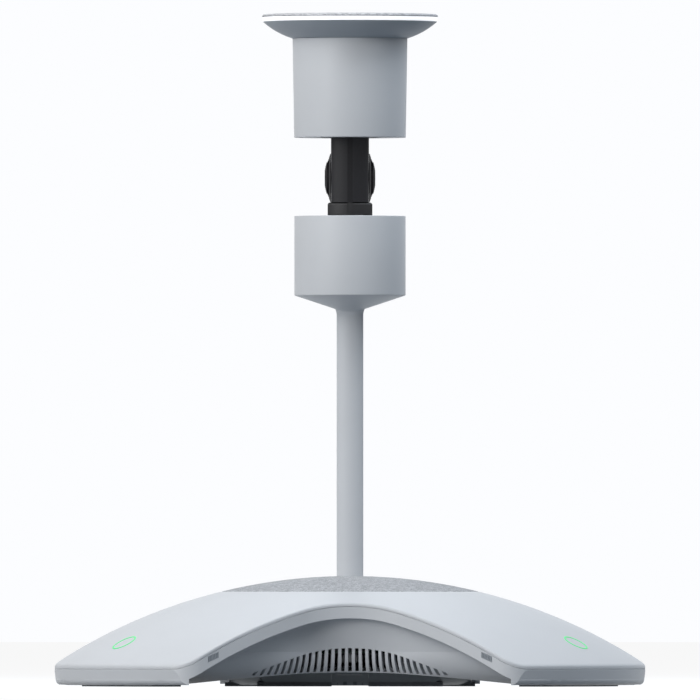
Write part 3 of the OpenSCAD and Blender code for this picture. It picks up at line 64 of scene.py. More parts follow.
# %% Camera
LENS_MM = 1600
SENSOR_MM = 36
PICTURE_M = 0.385
AIM = Vector((0, 0, 0.1849))
EYE_HEIGHT = 0.045
DISTANCE = PICTURE_M * LENS_MM / SENSOR_MM
CLIP_END = 100

camera_data = bpy.data.cameras.new("camera")
camera_data.lens = LENS_MM
camera_data.sensor_width = SENSOR_MM
camera_data.clip_end = CLIP_END
camera = bpy.data.objects.new("camera", camera_data)
bpy.context.scene.collection.objects.link(camera)
bpy.context.scene.camera = camera
camera.location = (0, -DISTANCE, EYE_HEIGHT)
camera.rotation_mode = "QUATERNION"
camera.rotation_quaternion = (AIM - camera.location).to_track_quat("-Z", "Y")
print(f"the camera stands {DISTANCE:.1f} m away")

# %% [markdown]
# ## Helpers for materials
#
# Colours are written as the hex values that a picture editor shows. Shaders work in linear
# light, so one function converts them. One more function adds a shader node, sets it up and
# links it, which keeps each material a short list of real properties.

# %% Colours and shader nodes
def linear(hex_colour):
    """The linear colour of an sRGB hex value."""
    channels = [int(hex_colour[i : i + 2], 16) / 255 for i in (1, 3, 5)]
    return [c / 12.92 if c <= 0.04045 else ((c + 0.055) / 1.055) ** 2.4 for c in channels] + [1.0]


def add(tree, kind, inputs=None, **settings):
    """Adds a node. An input is a value, or another node's output to link."""
    node = tree.nodes.new(kind)
    for name, value in settings.items():
        setattr(node, name, value)
    for name, value in (inputs or {}).items():
        if isinstance(value, bpy.types.NodeSocket):
            tree.links.new(value, node.inputs[name])
        else:
            node.inputs[name].default_value = value
    return node


def new_material(name):
    """An empty node material with its tree and its output node."""
    material = bpy.data.materials.new(name)
    material.use_nodes = True
    tree = material.node_tree
    tree.nodes.clear()
    return material, tree, tree.nodes.new("ShaderNodeOutputMaterial")


def position(tree):
    """The point on the piece, in metres from the foot of the pole."""
    return add(tree, "ShaderNodeTexCoord").outputs["Object"]


def per_metre(spacing_mm):
    """The scale of a texture whose features are this far apart."""
    return 1 / (spacing_mm * MM)


# %% [markdown]
# ## Lacquer, mouldings, rubber and metal
#
# Most of the object is moulded plastic. The pale shells are sprayed with a satin lacquer, whose
# surface has a faint ripple about a millimetre across. The grey hub is bare plastic from a
# spark-eroded mould, which gives a fine grain, and the feet are matt rubber. All of them, and the
# metal inside, differ in colour, in gloss and in the size and height of their grain, so one
# function makes them all.

# %% Grained surfaces
PATCH_MM = 40  # The tone drifts over patches about this wide
NOISE_LOW, NOISE_HIGH = 0.3, 0.7  # Nearly all of a noise texture's values lie between these


def grained(name, tone, roughness, grain_mm, relief_mm, shade=0.03, uneven=0.04, **shader):
    """A surface whose grain shows as relief and as uneven gloss, and whose tone drifts a little."""
    material, tree, output = new_material(name)
    place = position(tree)
    grain = add(
        tree,
        "ShaderNodeTexNoise",
        {"Vector": place, "Scale": per_metre(grain_mm), "Detail": 3},
    )
    patches = add(
        tree,
        "ShaderNodeTexNoise",
        {"Vector": place, "Scale": per_metre(PATCH_MM), "Detail": 2},
    )
    darker = [c * (1 - 2 * shade) for c in linear(tone)[:3]] + [1]
    colour = add(
        tree,
        "ShaderNodeMix",
        {"Factor": patches.outputs["Fac"], "A": linear(tone), "B": darker},
        data_type="RGBA",
    )
    gloss = add(
        tree,
        "ShaderNodeMapRange",
        {
            "Value": grain.outputs["Fac"],
            "From Min": NOISE_LOW,
            "From Max": NOISE_HIGH,
            "To Min": roughness - uneven,
            "To Max": roughness + uneven,
        },
    )
    relief = add(
        tree,
        "ShaderNodeBump",
        {"Height": grain.outputs["Fac"], "Distance": relief_mm * MM, "Strength": 1},
    )
    surface = add(
        tree,
        "ShaderNodeBsdfPrincipled",
        {
            "Base Color": colour.outputs["Result"],
            "Roughness": gloss.outputs["Result"],
            "Normal": relief.outputs["Normal"],
            **shader,
        },
    )
    tree.links.new(surface.outputs["BSDF"], output.inputs["Surface"])
    return material


# %% Lacquers
LACQUER = {"IOR": 1.5, "Specular IOR Level": 0.3}
DULLER_LACQUER = {"IOR": 1.5, "Specular IOR Level": 0.2}
# Satin two-part lacquer on ABS: a pale blue grey, with a soft sheen and a barely visible ripple
SATIN_LACQUER = grained(
    "satin_lacquer_on_abs", "#c8cbcf", roughness=0.45, grain_mm=0.9, relief_mm=0.004, **LACQUER
)
# The flare under the disc wears the same lacquer, duller; its colour is darker as painted shade of
# its downward face
FLARE_LACQUER_PAINTED_SHADE = grained(
    "flare_lacquer_painted_shade",
    "#a2a9b1",
    roughness=0.5,
    grain_mm=0.9,
    relief_mm=0.004,
    **DULLER_LACQUER,
)
# The microphones' covers are woven steel with the shells' lacquer, and their colour is darker than
# the shells' as painted shade in their holes
LACQUERED_MESH_AND_HOLE_SHADE = grained(
    "lacquered_steel_mesh_and_painted_hole_shade",
    "#9ba1a8",
    roughness=0.55,
    grain_mm=0.7,
    relief_mm=0.12,
    shade=0.08,
    **LACQUER,
)

# %% Plastics and rubber
POLYCARBONATE_IOR = 1.58
# ABS from a spark-eroded mould: mid grey, with a matt grain that can just be seen
SPARKED_ABS = grained(
    "spark_eroded_dark_abs", "#808991", roughness=0.55, grain_mm=0.6, relief_mm=0.02, IOR=1.54
)
# Silicone rubber: the dullest of the greys, with hardly any highlight
FOOT_RUBBER = grained(
    "matt_silicone_rubber", "#6e747b", roughness=0.75, grain_mm=0.5, relief_mm=0.03, IOR=1.41
)
# Polycarbonate with a half-gloss finish: the black frame of the camera
HALF_GLOSS_BLACK = grained(
    "half_gloss_black_polycarbonate",
    "#141416",
    roughness=0.5,
    grain_mm=0.5,
    relief_mm=0.004,
    **{"IOR": POLYCARBONATE_IOR, "Specular IOR Level": 0.25},
)
# The column's shells are the same plastic with less shine
COLUMN_BLACK = grained(
    "darker_black_polycarbonate",
    "#1a1a1d",
    roughness=0.5,
    grain_mm=0.5,
    relief_mm=0.002,
    **{"IOR": POLYCARBONATE_IOR, "Specular IOR Level": 0.16},
)
# The lenses' bezels are etched matt, so that they throw no light into the lens
BEZEL_BLACK = grained(
    "etched_black_polycarbonate",
    "#0f0f12",
    roughness=0.6,
    grain_mm=0.4,
    relief_mm=0.004,
    **{"IOR": POLYCARBONATE_IOR, "Specular IOR Level": 0.15},
)
# Matt black moulding of the inner parts
INNER_MOULDING = grained(
    "matt_black_moulding", "#1d1e20", roughness=0.6, grain_mm=0.5, relief_mm=0.02, IOR=1.54
)
# Acetal, the slippery off-white plastic of bushes
ACETAL = grained(
    "natural_acetal", "#e3e4e0", roughness=0.35, grain_mm=0.8, relief_mm=0.005, IOR=1.48
)

# %% Paper, circuit boards and metals
# Coated paper of the speaker cones: dark, and rough with fibres
CONE_PAPER = grained(
    "coated_cone_paper", "#35383b", roughness=0.7, grain_mm=0.7, relief_mm=0.05, IOR=1.5
)
# Solder mask over fibreglass: a glossy green in which the glass cloth shows as patches
SOLDER_MASK = grained(
    "green_solder_mask", "#2f5d4a", roughness=0.3, grain_mm=1.5, relief_mm=0.01, shade=0.2, IOR=1.55
)
# Die-cast aluminium and zinc-plated steel keep the default IOR, as metals do
CAST_ALUMINIUM = grained(
    "die_cast_aluminium", "#b9bdc0", roughness=0.38, grain_mm=0.4, relief_mm=0.02, Metallic=1.0
)
ZINC_STEEL = grained(
    "zinc_plated_steel", "#b4b8bc", roughness=0.28, grain_mm=0.6, relief_mm=0.005, Metallic=1.0
)
print(f"{len(bpy.data.materials)} materials so far")

# %% [markdown]
# ## Heather cloth
#
# Both cloths are plain weaves of grey polyester whose threads are dyed unevenly, so the cloth
# looks speckled. Real threads lie 0.35 mm apart, which is finer than a pixel here, so the weave
# is drawn at 0.8 mm. Two sets of sine waves make the threads, and a noise that is stretched along
# each set changes their colour from thread to thread.

# %% Cloth material
THREAD_MM = 0.8
THREAD_HEIGHT_MM = 0.25
WEAVE_TURN = math.radians(31)  # The weave lies askew to the object's front
DYE_STRETCH = 0.25  # A stretch of one dye is four times as long as it is wide
DYE_WIDTH = 1.2  # In threads
DYE_LOW, DYE_HIGH = 0.36, 0.62  # The dye noise's values that become the dark and light threads


def heather_cloth(name, dark, light):
    """A plain weave of unevenly dyed threads."""
    material, tree, output = new_material(name)
    place = position(tree)
    askew = add(tree, "ShaderNodeMapping", {"Vector": place, "Rotation": (0, 0, WEAVE_TURN)})
    across = add(tree, "ShaderNodeSeparateXYZ", {"Vector": askew.outputs["Vector"]})
    waves, dyes = [], []
    for axis in ("X", "Y"):
        phase = add(
            tree,
            "ShaderNodeMath",
            {0: across.outputs[axis], 1: math.pi / (THREAD_MM * MM)},
            operation="MULTIPLY",
        )
        wave = add(tree, "ShaderNodeMath", {0: phase.outputs[0]}, operation="SINE")
        waves.append(wave.outputs[0])
        along = (DYE_STRETCH, 1, 1) if axis == "Y" else (1, DYE_STRETCH, 1)
        stretched = add(
            tree, "ShaderNodeMapping", {"Vector": askew.outputs["Vector"], "Scale": along}
        )
        dye = add(
            tree,
            "ShaderNodeTexNoise",
            {
                "Vector": stretched.outputs["Vector"],
                "Scale": per_metre(THREAD_MM * DYE_WIDTH),
                "Detail": 2,
            },
        )
        dyes.append(dye.outputs["Fac"])
    over_under = add(tree, "ShaderNodeMath", {0: waves[0], 1: waves[1]}, operation="MULTIPLY")
    on_top = add(
        tree, "ShaderNodeMath", {0: over_under.outputs[0], 1: 0.0}, operation="GREATER_THAN"
    )
    speckle = add(
        tree, "ShaderNodeMix", {"Factor": on_top.outputs[0], "A": dyes[0], "B": dyes[1]}
    )
    depth = add(tree, "ShaderNodeMath", {0: over_under.outputs[0]}, operation="ABSOLUTE")
    tone = add(
        tree,
        "ShaderNodeMapRange",
        {"Value": speckle.outputs["Result"], "From Min": DYE_LOW, "From Max": DYE_HIGH},
    )
    colour = add(
        tree,
        "ShaderNodeMix",
        {"Factor": tone.outputs["Result"], "A": linear(dark), "B": linear(light)},
        data_type="RGBA",
    )
    relief = add(
        tree,
        "ShaderNodeBump",
        {"Height": depth.outputs[0], "Distance": THREAD_HEIGHT_MM * MM, "Strength": 0.8},
    )
    surface = add(
        tree,
        "ShaderNodeBsdfPrincipled",
        {
            "Base Color": colour.outputs["Result"],
            "Roughness": 0.92,
            "Sheen Weight": 0.15,
            "Sheen Roughness": 0.5,
            "Normal": relief.outputs["Normal"],
        },
    )
    tree.links.new(surface.outputs["BSDF"], output.inputs["Surface"])
    return material


SPEAKER_CLOTH = heather_cloth("grey_heather_polyester", "#85888d", "#c4c6ca")
TOP_CLOTH = heather_cloth("pale_heather_polyester", "#a3a4a9", "#dcdde0")

# %% [markdown]
# ## Light, opal plastic and glass
#
# The band under the disc and the touch rings are opal plastic with lamps behind them: they
# scatter light and give off some of their own. The lenses have a front glass with a coating
# thinner than a wavelength, which is what makes camera lenses look violet. Blender's Principled
# shader has that film as a setting, so the colour changes with the angle as it does in life.

# %% Lit and clear materials
CLOUD_MM = 6  # The size of the cloudy patches in opal plastic
SMEAR_MM = 9  # The width of a smear on a lens


def opal(name, tone, glow, strength):
    """Opal plastic with a lamp behind it."""
    material, tree, output = new_material(name)
    cloudy = add(
        tree,
        "ShaderNodeTexNoise",
        {"Vector": position(tree), "Scale": per_metre(CLOUD_MM), "Detail": 2},
    )
    gloss = add(
        tree,
        "ShaderNodeMapRange",
        {"Value": cloudy.outputs["Fac"], "To Min": 0.25, "To Max": 0.4},
    )
    surface = add(
        tree,
        "ShaderNodeBsdfPrincipled",
        {
            "Base Color": linear(tone),
            "Roughness": gloss.outputs["Result"],
            "Emission Color": linear(glow),
            "Emission Strength": strength,
        },
    )
    tree.links.new(surface.outputs["BSDF"], output.inputs["Surface"])
    return material


def coated_glass(name, tint, film_nm):
    """Front glass with its thin film and faint smears, opaque as it looks from outside."""
    material, tree, output = new_material(name)
    smears = add(
        tree,
        "ShaderNodeTexNoise",
        {"Vector": position(tree), "Scale": per_metre(SMEAR_MM), "Detail": 3},
    )
    gloss = add(
        tree,
        "ShaderNodeMapRange",
        {
            "Value": smears.outputs["Fac"],
            "From Min": 0.4,
            "From Max": NOISE_HIGH,
            "To Min": 0.3,
            "To Max": 0.4,
        },
    )
    surface = add(
        tree,
        "ShaderNodeBsdfPrincipled",
        {
            "Base Color": linear(tint),
            "Roughness": gloss.outputs["Result"],
            "IOR": 1.6,
            "Specular IOR Level": 0.5,
            "Thin Film Thickness": film_nm,
            "Thin Film IOR": 1.38,
        },
    )
    tree.links.new(surface.outputs["BSDF"], output.inputs["Surface"])
    return material


OPAL_WHITE = opal("opal_acrylic_lit_white", "#f1f2f5", "#ffffff", strength=0.55)
OPAL_GREEN = opal("opal_acrylic_lit_green", "#3fbf74", "#22c060", strength=0.5)
FRONT_GLASS = coated_glass("violet_coated_glass", "#1c1228", film_nm=420)

# %% [markdown]
# ## The CAD nodes' materials
#
# Every CAD node gets one of these, also those that a finer piece stands in for further down. A
# node's own name says what it is, so a table from names to materials does the whole job.

# %% Dress the CAD nodes
FINISHES = {
    "base_tray top_cover lower_can can_top_plate upper_can pole": SATIN_LACQUER,
    "top_flare": FLARE_LACQUER_PAINTED_SHADE,
    "mic_grilles": LACQUERED_MESH_AND_HOLE_SHADE,
    "bottom_cover cable_comb speaker_grille top_grille port_block": SPARKED_ABS,
    "hub_feet arm_feet": FOOT_RUBBER,
    "speaker_fabric": SPEAKER_CLOTH,
    "top_fabric": TOP_CLOTH,
    "touch_ring_left touch_ring_right touch_ring_back": OPAL_GREEN,
    "light_ring": OPAL_WHITE,
    "camera_frame": HALF_GLOSS_BLACK,
    "camera_shell_left camera_shell_right": COLUMN_BLACK,
    "lens_bezel_left lens_bezel_right": BEZEL_BLACK,
    "lens_glass_left lens_glass_right": FRONT_GLASS,
    "lens_barrel_left lens_barrel_right speaker_baffle": INNER_MOULDING,
    "speaker_front speaker_left speaker_right": INNER_MOULDING,
    "cone_front cone_left cone_right": CONE_PAPER,
    "main_board mic_boards touch_boards sensor_boards processor_board": SOLDER_MASK,
    "mic_array_board": SOLDER_MASK,
    "heat_sink head_heat_sink pole_base head_chassis": CAST_ALUMINIUM,
    "cover_screws hub_screws baffle_screws pole_screws head_screws": ZINC_STEEL,
    "friction_spring guide_blade": ZINC_STEEL,
    "guide_bush": ACETAL,
}
dressed = set()
for names, material in FINISHES.items():
    for name in names.split():
        NODES[name].data.materials.clear()
        NODES[name].data.materials.append(material)
        dressed.add(name)
print("nodes without a material:", sorted(set(NODES) - dressed))

# %% [markdown]
# ## Turned pieces
#
# The cans, the light band, the cloths, the touch rings and the lens hoods are all round about an
# axis. Each is a section with a few corners, spun a full turn. The corners that a finger would
# feel are then bevelled, because a real edge is never sharp and its small highlight is what makes
# it look made.

# %% A lathe
TURN_STEPS = 144
BEVEL_STEPS = 4
WELD_MM = 0.001
FIND_MM = 0.01  # How near to a corner's ring an edge has to be, to be part of it
SHARP_ANGLE = math.radians(35)


def on_ring(edge, radius, height):
    """Whether an edge lies on the ring that one corner of a section sweeps out."""
    return all(
        abs(math.hypot(v.co.x, v.co.y) - radius * MM) < FIND_MM * MM
        and abs(v.co.z - height * MM) < FIND_MM * MM
        for v in edge.verts
    )


def turned(name, section, body, material, stands_for=(), place=None):
    """Spins a section of (radius, height, bevel), in millimetres, about the tower's axis."""
    shape = bmesh.new()
    points = [shape.verts.new((r * MM, 0, z * MM)) for r, z, _ in section]
    edges = [shape.edges.new(pair) for pair in zip(points, points[1:] + points[:1])]
    bmesh.ops.spin(
        shape,
        geom=points + edges,
        cent=(0, 0, 0),
        axis=(0, 0, 1),
        angle=math.tau,
        steps=TURN_STEPS,
        use_merge=True,
    )
    bmesh.ops.remove_doubles(shape, verts=shape.verts, dist=WELD_MM * MM)
    for radius, height, bevel in section:
        if bevel:
            bmesh.ops.bevel(
                shape,
                geom=[e for e in shape.edges if on_ring(e, radius, height)],
                offset=bevel * MM,
                segments=BEVEL_STEPS,
                profile=0.5,
                affect="EDGES",
                material=-1,
            )
    if place is not None:
        bmesh.ops.transform(shape, matrix=place, verts=shape.verts)
    return finished(name, shape, body, material, stands_for)


def finished(name, shape, body, material, stands_for=()):
    """Makes a piece of a bmesh: smooth but for sharp edges, on its body, in its nodes' stead."""
    bmesh.ops.recalc_face_normals(shape, faces=shape.faces)
    mesh = bpy.data.meshes.new(name)
    shape.to_mesh(mesh)
    shape.free()
    mesh.shade_smooth()
    mesh.set_sharp_from_angle(angle=SHARP_ANGLE)
    mesh.materials.append(material)
    piece = bpy.data.objects.new(name, mesh)
    bpy.context.scene.collection.objects.link(piece)
    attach(piece, body)
    if stands_for:
        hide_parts(*stands_for)
    print(f"{name}: {len(mesh.polygons)} faces")
    return piece


# %% [markdown]
# ## Top disc
#
# Seen from the front, the disc is a thin speckled line of cloth over a bright white band. The
# cloth is wrapped round the rim of a plate, so it has a round edge and a faintly crowned top.

# %% Top cloth
DISC_TOP, DISC_R = 370.0, 48.4
WRAP_FOOT, WRAP_R = 368.1, 45.2
PLATE_TOP = 369.1
RIM_TOP, RIM_FOOT = 368.9, 368.3
CROWN = [(0, 0), (20, 0.03), (36, 0.15), (44, 0.3), (47.4, 0.5)]  # Radius, and drop from the top

turned(
    "top_cloth",
    [(radius, DISC_TOP - drop, 0) for radius, drop in CROWN]
    + [
        (DISC_R, RIM_TOP, 0.5),
        (DISC_R, RIM_FOOT, 0.2),
        (DISC_R - 0.5, WRAP_FOOT, 0),
        (WRAP_R, WRAP_FOOT, 0),
        (WRAP_R, PLATE_TOP, 0),
        (0, PLATE_TOP, 0),
    ],
    "head",
    TOP_CLOTH,
    ["top_fabric"],
)

# %% Light band
BAND_FOOT, BAND_TOP = 365.65, 367.95
BAND_INNER_R, BAND_FOOT_R, BAND_TOP_R = 45.1, 47.9, 48.0
BAND_ROUND = 0.35

turned(
    "light_band",
    [
        (BAND_INNER_R, BAND_FOOT, 0),
        (BAND_FOOT_R, BAND_FOOT, BAND_ROUND),
        (BAND_TOP_R, BAND_TOP, BAND_ROUND),
        (BAND_INNER_R, BAND_TOP, 0),
    ],
    "head",
    OPAL_WHITE,
    ["light_ring"],
)

# %% [markdown]
# ## Upper can
#
# The upper can is a moulded cup with a hole in its floor for the camera column. Its wall leans out
# by less than a millimetre. On flat facets that lean shows as upright streaks of light, so the
# can is turned as well.

# %% Upper can
HEAD_BOTTOM, UPPER_CAN_TOP = 301.7, 356.2
UPPER_FOOT_R, UPPER_TOP_R, COLUMN_HOLE_R = 30.7, 31.6, 17.75
UPPER_WALL, UPPER_FLOOR = 1.75, 1.8

turned(
    "upper_can_shell",
    [
        (COLUMN_HOLE_R, HEAD_BOTTOM, 0.2),
        (UPPER_FOOT_R, HEAD_BOTTOM, 0.45),
        (UPPER_TOP_R, UPPER_CAN_TOP, 0.1),
        (UPPER_TOP_R - UPPER_WALL, UPPER_CAN_TOP, 0),
        (UPPER_FOOT_R - UPPER_WALL, HEAD_BOTTOM + UPPER_FLOOR, 0),
        (COLUMN_HOLE_R, HEAD_BOTTOM + UPPER_FLOOR, 0),
    ],
    "head",
    SATIN_LACQUER,
    ["upper_can"],
)

# %% [markdown]
# ## Soft edges on the CAD's own pieces
#
# The flare under the disc and the plate in the lower can already have the right shape, and only
# their edges are too sharp. A copy of the mesh is welded, and every outward corner that the test
# picks gets a narrow round bevel.

# %% Bevelled copies
COPY_WELD_MM = 0.002
FLAT_ANGLE = math.radians(0.5)
CORNER_ANGLE = math.radians(30)
COPY_BEVEL_STEPS = 2
FLARE_RIM_R = 44
FLARE_EDGE_MM, PLATE_EDGE_MM = 0.2, 0.3


def softened(name, node, body, material, width_mm, picks=lambda middle: True):
    """A copy of a CAD node whose sharp outward edges are rounded, where the test says so."""
    shape = bmesh.new()
    shape.from_mesh(NODES[node].data)
    bmesh.ops.remove_doubles(shape, verts=shape.verts, dist=COPY_WELD_MM * MM)
    bmesh.ops.dissolve_limit(shape, angle_limit=FLAT_ANGLE, verts=shape.verts, edges=shape.edges)
    sharp = [
        e
        for e in shape.edges
        if e.is_manifold
        and e.is_convex
        and e.calc_face_angle() > CORNER_ANGLE
        and picks((e.verts[0].co + e.verts[1].co) / (2 * MM))
    ]
    bmesh.ops.bevel(
        shape,
        geom=sharp,
        offset=width_mm * MM,
        segments=COPY_BEVEL_STEPS,
        profile=0.5,
        affect="EDGES",
        clamp_overlap=True,
        material=-1,
    )
    return finished(name, shape, body, material, [node])


softened(
    "top_flare_shell",
    "top_flare",
    "head",
    FLARE_LACQUER_PAINTED_SHADE,
    FLARE_EDGE_MM,
    lambda middle: middle.xy.length > FLARE_RIM_R,
)
softened("can_plate", "can_top_plate", "base", SATIN_LACQUER, PLATE_EDGE_MM)

# %% [markdown]
# ## Lower can and its neck
#
# The can is a tube that ends in a shallow cone. The cone runs into the oval pole through a neck:
# seen from the front the neck widens over six millimetres, and where the cone meets the pole's
# flat front the edge is crisp. The can is turned. The neck starts as an oval ring inside the pole,
# which is extruded upwards and widened step by step until it lies in the cone.

# %% Lower can
CONE_TIP = 204.72
CONE_RISE = math.tan(math.radians(18.4))
CONE_EDGE, CAN_MOUTH = 214.9, 258.6
LOWER_CAN_R, BORE_R, BORE_FLOOR = 30.6, 29.02, 216.1
CONE_HOLE_R, CONE_WALL = 3.0, 1.7

turned(
    "lower_can_shell",
    [
        (CONE_HOLE_R, CONE_TIP + CONE_HOLE_R * CONE_RISE, 0),
        (LOWER_CAN_R, CONE_EDGE, 0.4),
        (LOWER_CAN_R, CAN_MOUTH, 0.45),
        (BORE_R, CAN_MOUTH, 0.25),
        (BORE_R, BORE_FLOOR, 0),
        (CONE_HOLE_R, CONE_TIP + CONE_HOLE_R * CONE_RISE + CONE_WALL, 0),
    ],
    "base",
    SATIN_LACQUER,
    ["lower_can"],
)

# %% Shape of the neck
POLE_HALF_WIDTH, POLE_HALF_DEPTH = 7.3, 4.0
NECK_FLARE, NECK_START = 1.25, 201.6
NECK_SIDES, NECK_STEPS = 96, 8
NECK_FULLNESS = 0.97  # At 1 the flare would be a full quarter round, level at its mouth
NECK_TUCK = 0.25  # How far the first ring lies inside the pole's surface
NECK_LAP = 0.2  # How far the last ring reaches into the cone's wall


def extruded(shape, edges):
    """Extrudes a ring of edges, and gives the new ring's vertices and edges."""
    made = bmesh.ops.extrude_edge_only(shape, edges=edges)["geom"]
    verts = [g for g in made if isinstance(g, bmesh.types.BMVert)]
    return verts, [g for g in made if isinstance(g, bmesh.types.BMEdge)]


def place_neck_ring(verts, share):
    """Puts a round ring of vertices at a share of the way from the pole up to the cone."""
    grow = NECK_FLARE * (1 - math.sqrt(1 - NECK_FULLNESS * share * share)) - NECK_TUCK * (1 - share)
    for v in verts:
        turn = math.atan2(v.co.y, v.co.x)
        mouth_r = math.hypot(
            (POLE_HALF_WIDTH + NECK_FLARE) * math.cos(turn),
            (POLE_HALF_DEPTH + NECK_FLARE) * math.sin(turn),
        )
        mouth_z = CONE_TIP + CONE_RISE * mouth_r + NECK_LAP
        v.co = MM * Vector(
            (
                (POLE_HALF_WIDTH + grow) * math.cos(turn),
                (POLE_HALF_DEPTH + grow) * math.sin(turn),
                NECK_START + share * (mouth_z - NECK_START),
            )
        )


# %% Neck, ring by ring
shape = bmesh.new()
bmesh.ops.create_circle(shape, segments=NECK_SIDES, radius=MM)
rings, edges = [list(shape.verts)], list(shape.edges)
for _ in range(NECK_STEPS):
    ring, edges = extruded(shape, edges)
    rings.append(ring)
for step, ring in enumerate(rings):
    place_neck_ring(ring, step / NECK_STEPS)
bmesh.ops.holes_fill(shape, edges=shape.edges, sides=0)
finished("can_neck", shape, "base", SATIN_LACQUER)

# %% [markdown]
# ## Camera column
#
# Two shells make the column between the cans, with a matt strip between them whose darker tone
# is painted shade of the seam between the shells. Their fronts and backs follow a circle, and
# their corners are well rounded, so the light fades softly towards the column's sides. The plan
# of each piece is extruded upwards.

# %% Column shells
COLUMN_R, COLUMN_HALF_WIDTH, COLUMN_CORNER = 17.6, 10.45, 3.2
STRIP_HALF_WIDTH, STRIP_DROP = 1.42, 0.02
COLUMN_STEPS = 10


def column_quarter():
    """The plan of a quarter of the column, from the middle strip round to the flat side."""
    far_x = COLUMN_HALF_WIDTH - COLUMN_CORNER
    far_y = math.sqrt((COLUMN_R - COLUMN_CORNER) ** 2 - far_x**2)
    first = math.asin(STRIP_HALF_WIDTH / COLUMN_R)
    last = math.atan2(far_x, far_y)
    points = []
    for step in range(COLUMN_STEPS + 1):
        turn = first + (last - first) * step / COLUMN_STEPS
        points.append((COLUMN_R * math.sin(turn), COLUMN_R * math.cos(turn)))
    for step in range(1, COLUMN_STEPS + 1):
        turn = last + (math.pi / 2 - last) * step / COLUMN_STEPS
        corner_x, corner_y = COLUMN_CORNER * math.sin(turn), COLUMN_CORNER * math.cos(turn)
        points.append((far_x + corner_x, far_y + corner_y))
    return points


def upright(name, plan, low_z, high_z, material, stands_for=()):
    """Extrudes a plan, in millimetres, between two heights in metres, on the head."""
    shape = bmesh.new()
    foot = shape.faces.new([shape.verts.new((x * MM, y * MM, low_z)) for x, y in plan])
    raised = bmesh.ops.extrude_face_region(shape, geom=[foot])["geom"]
    tops = [g for g in raised if isinstance(g, bmesh.types.BMVert)]
    bmesh.ops.translate(shape, verts=tops, vec=(0, 0, high_z - low_z))
    finished(name, shape, "head", material, stands_for)


quarter = column_quarter()
for name, side in (("left", -1), ("right", 1)):
    low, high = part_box(f"camera_shell_{name}")
    plan = [(side * x, -y) for x, y in quarter] + [(side * x, y) for x, y in reversed(quarter)]
    upright(f"column_shell_{name}", plan, low[2], high[2], COLUMN_BLACK, [f"camera_shell_{name}"])

# The strip fills the slot between the shells, a hair behind their faces and just as tall; its
# dark matt finish is painted shade of the seam
strip_y = quarter[0][1] - STRIP_DROP
front = [(STRIP_HALF_WIDTH, -strip_y), (-STRIP_HALF_WIDTH, -strip_y)]
back = [(-STRIP_HALF_WIDTH, strip_y), (STRIP_HALF_WIDTH, strip_y)]
upright("column_strip_painted_shade", front + back, low[2], high[2], BEZEL_BLACK)

# %% [markdown]
# ## Lens hoods
#
# A ribbed ring round each front glass catches stray light. It is turned, and lies on the same
# sphere as the bezel, so that in profile the lens is one dark bulge with fine ribs.

# %% Two ribbed rings
BULGE_R = 29.4
BEZEL_R, BEZEL_EDGE = 13.35, 0.3
HOOD_OUTER, HOOD_RIBS, RIB_PITCH, RIB_HEIGHT = 8.7, 5, 1.0, 0.24
HOOD_INNER = HOOD_OUTER - HOOD_RIBS * RIB_PITCH
HOOD_PROUD, HOOD_ROOT = 0.03, -0.6


def over_bulge(radius, height):
    """A point of the hood's section, at a height over the lens's bulge."""
    bulge = BEZEL_EDGE + math.sqrt(BULGE_R**2 - radius**2) - math.sqrt(BULGE_R**2 - BEZEL_R**2)
    return (radius, bulge + height, 0)


hood = []
for rib in range(HOOD_RIBS):
    outer = HOOD_OUTER - rib * RIB_PITCH
    hood += [
        over_bulge(outer, HOOD_PROUD),
        over_bulge(outer - RIB_PITCH / 4, RIB_HEIGHT),
        over_bulge(outer - RIB_PITCH / 2, RIB_HEIGHT),
    ]
hood += [
    over_bulge(HOOD_INNER, HOOD_PROUD),
    over_bulge(HOOD_INNER, HOOD_ROOT),
    over_bulge(HOOD_OUTER, HOOD_ROOT),
]
for name, side in (("left", -1), ("right", 1)):
    low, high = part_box(f"lens_glass_{name}")
    middle = Matrix.Translation((side * COLUMN_HALF_WIDTH * MM, 0, (low[2] + high[2]) / 2))
    on_side = middle @ Matrix.Rotation(side * math.pi / 2, 4, "Y")
    turned(f"lens_hood_{name}", hood, "head", BEZEL_BLACK, place=on_side)

# %% [markdown]
# ## Top cover
#
# The cover is a thin shell cut out of one big sphere, in the outline of three broad arms. Its rim
# is rounded over a millimetre, which gives the soft light line above the dark seam. A circle of
# vertices is extruded ring by ring. Each ring is a share of the way from the round opening to the
# outline. The rings run out over the sphere, turn down round the rim, and come back underneath to
# close the shell at the opening.

# %% The outline
DOME_R, DOME_CENTRE = 297.0, -236.4
ARM_REACH, ARM_HALF_WIDTH, ARM_CORNER, HOLLOW_R = 163.2, 73.8, 15.0, 49.0
HOLLOW_C = (ARM_HALF_WIDTH + HOLLOW_R) / math.cos(math.radians(30))
CORNER_X = math.sqrt((ARM_REACH - ARM_CORNER) ** 2 - (ARM_HALF_WIDTH - ARM_CORNER) ** 2)
CORNER_Y = ARM_HALF_WIDTH - ARM_CORNER


def crossing(centre, radius, turn, side):
    """Where a ray from the axis crosses a circle, on its far (1) or near (-1) side."""
    along = centre.x * math.cos(turn) + centre.y * math.sin(turn)
    return along + side * math.sqrt(max(0, along * along - centre.length_squared + radius * radius))


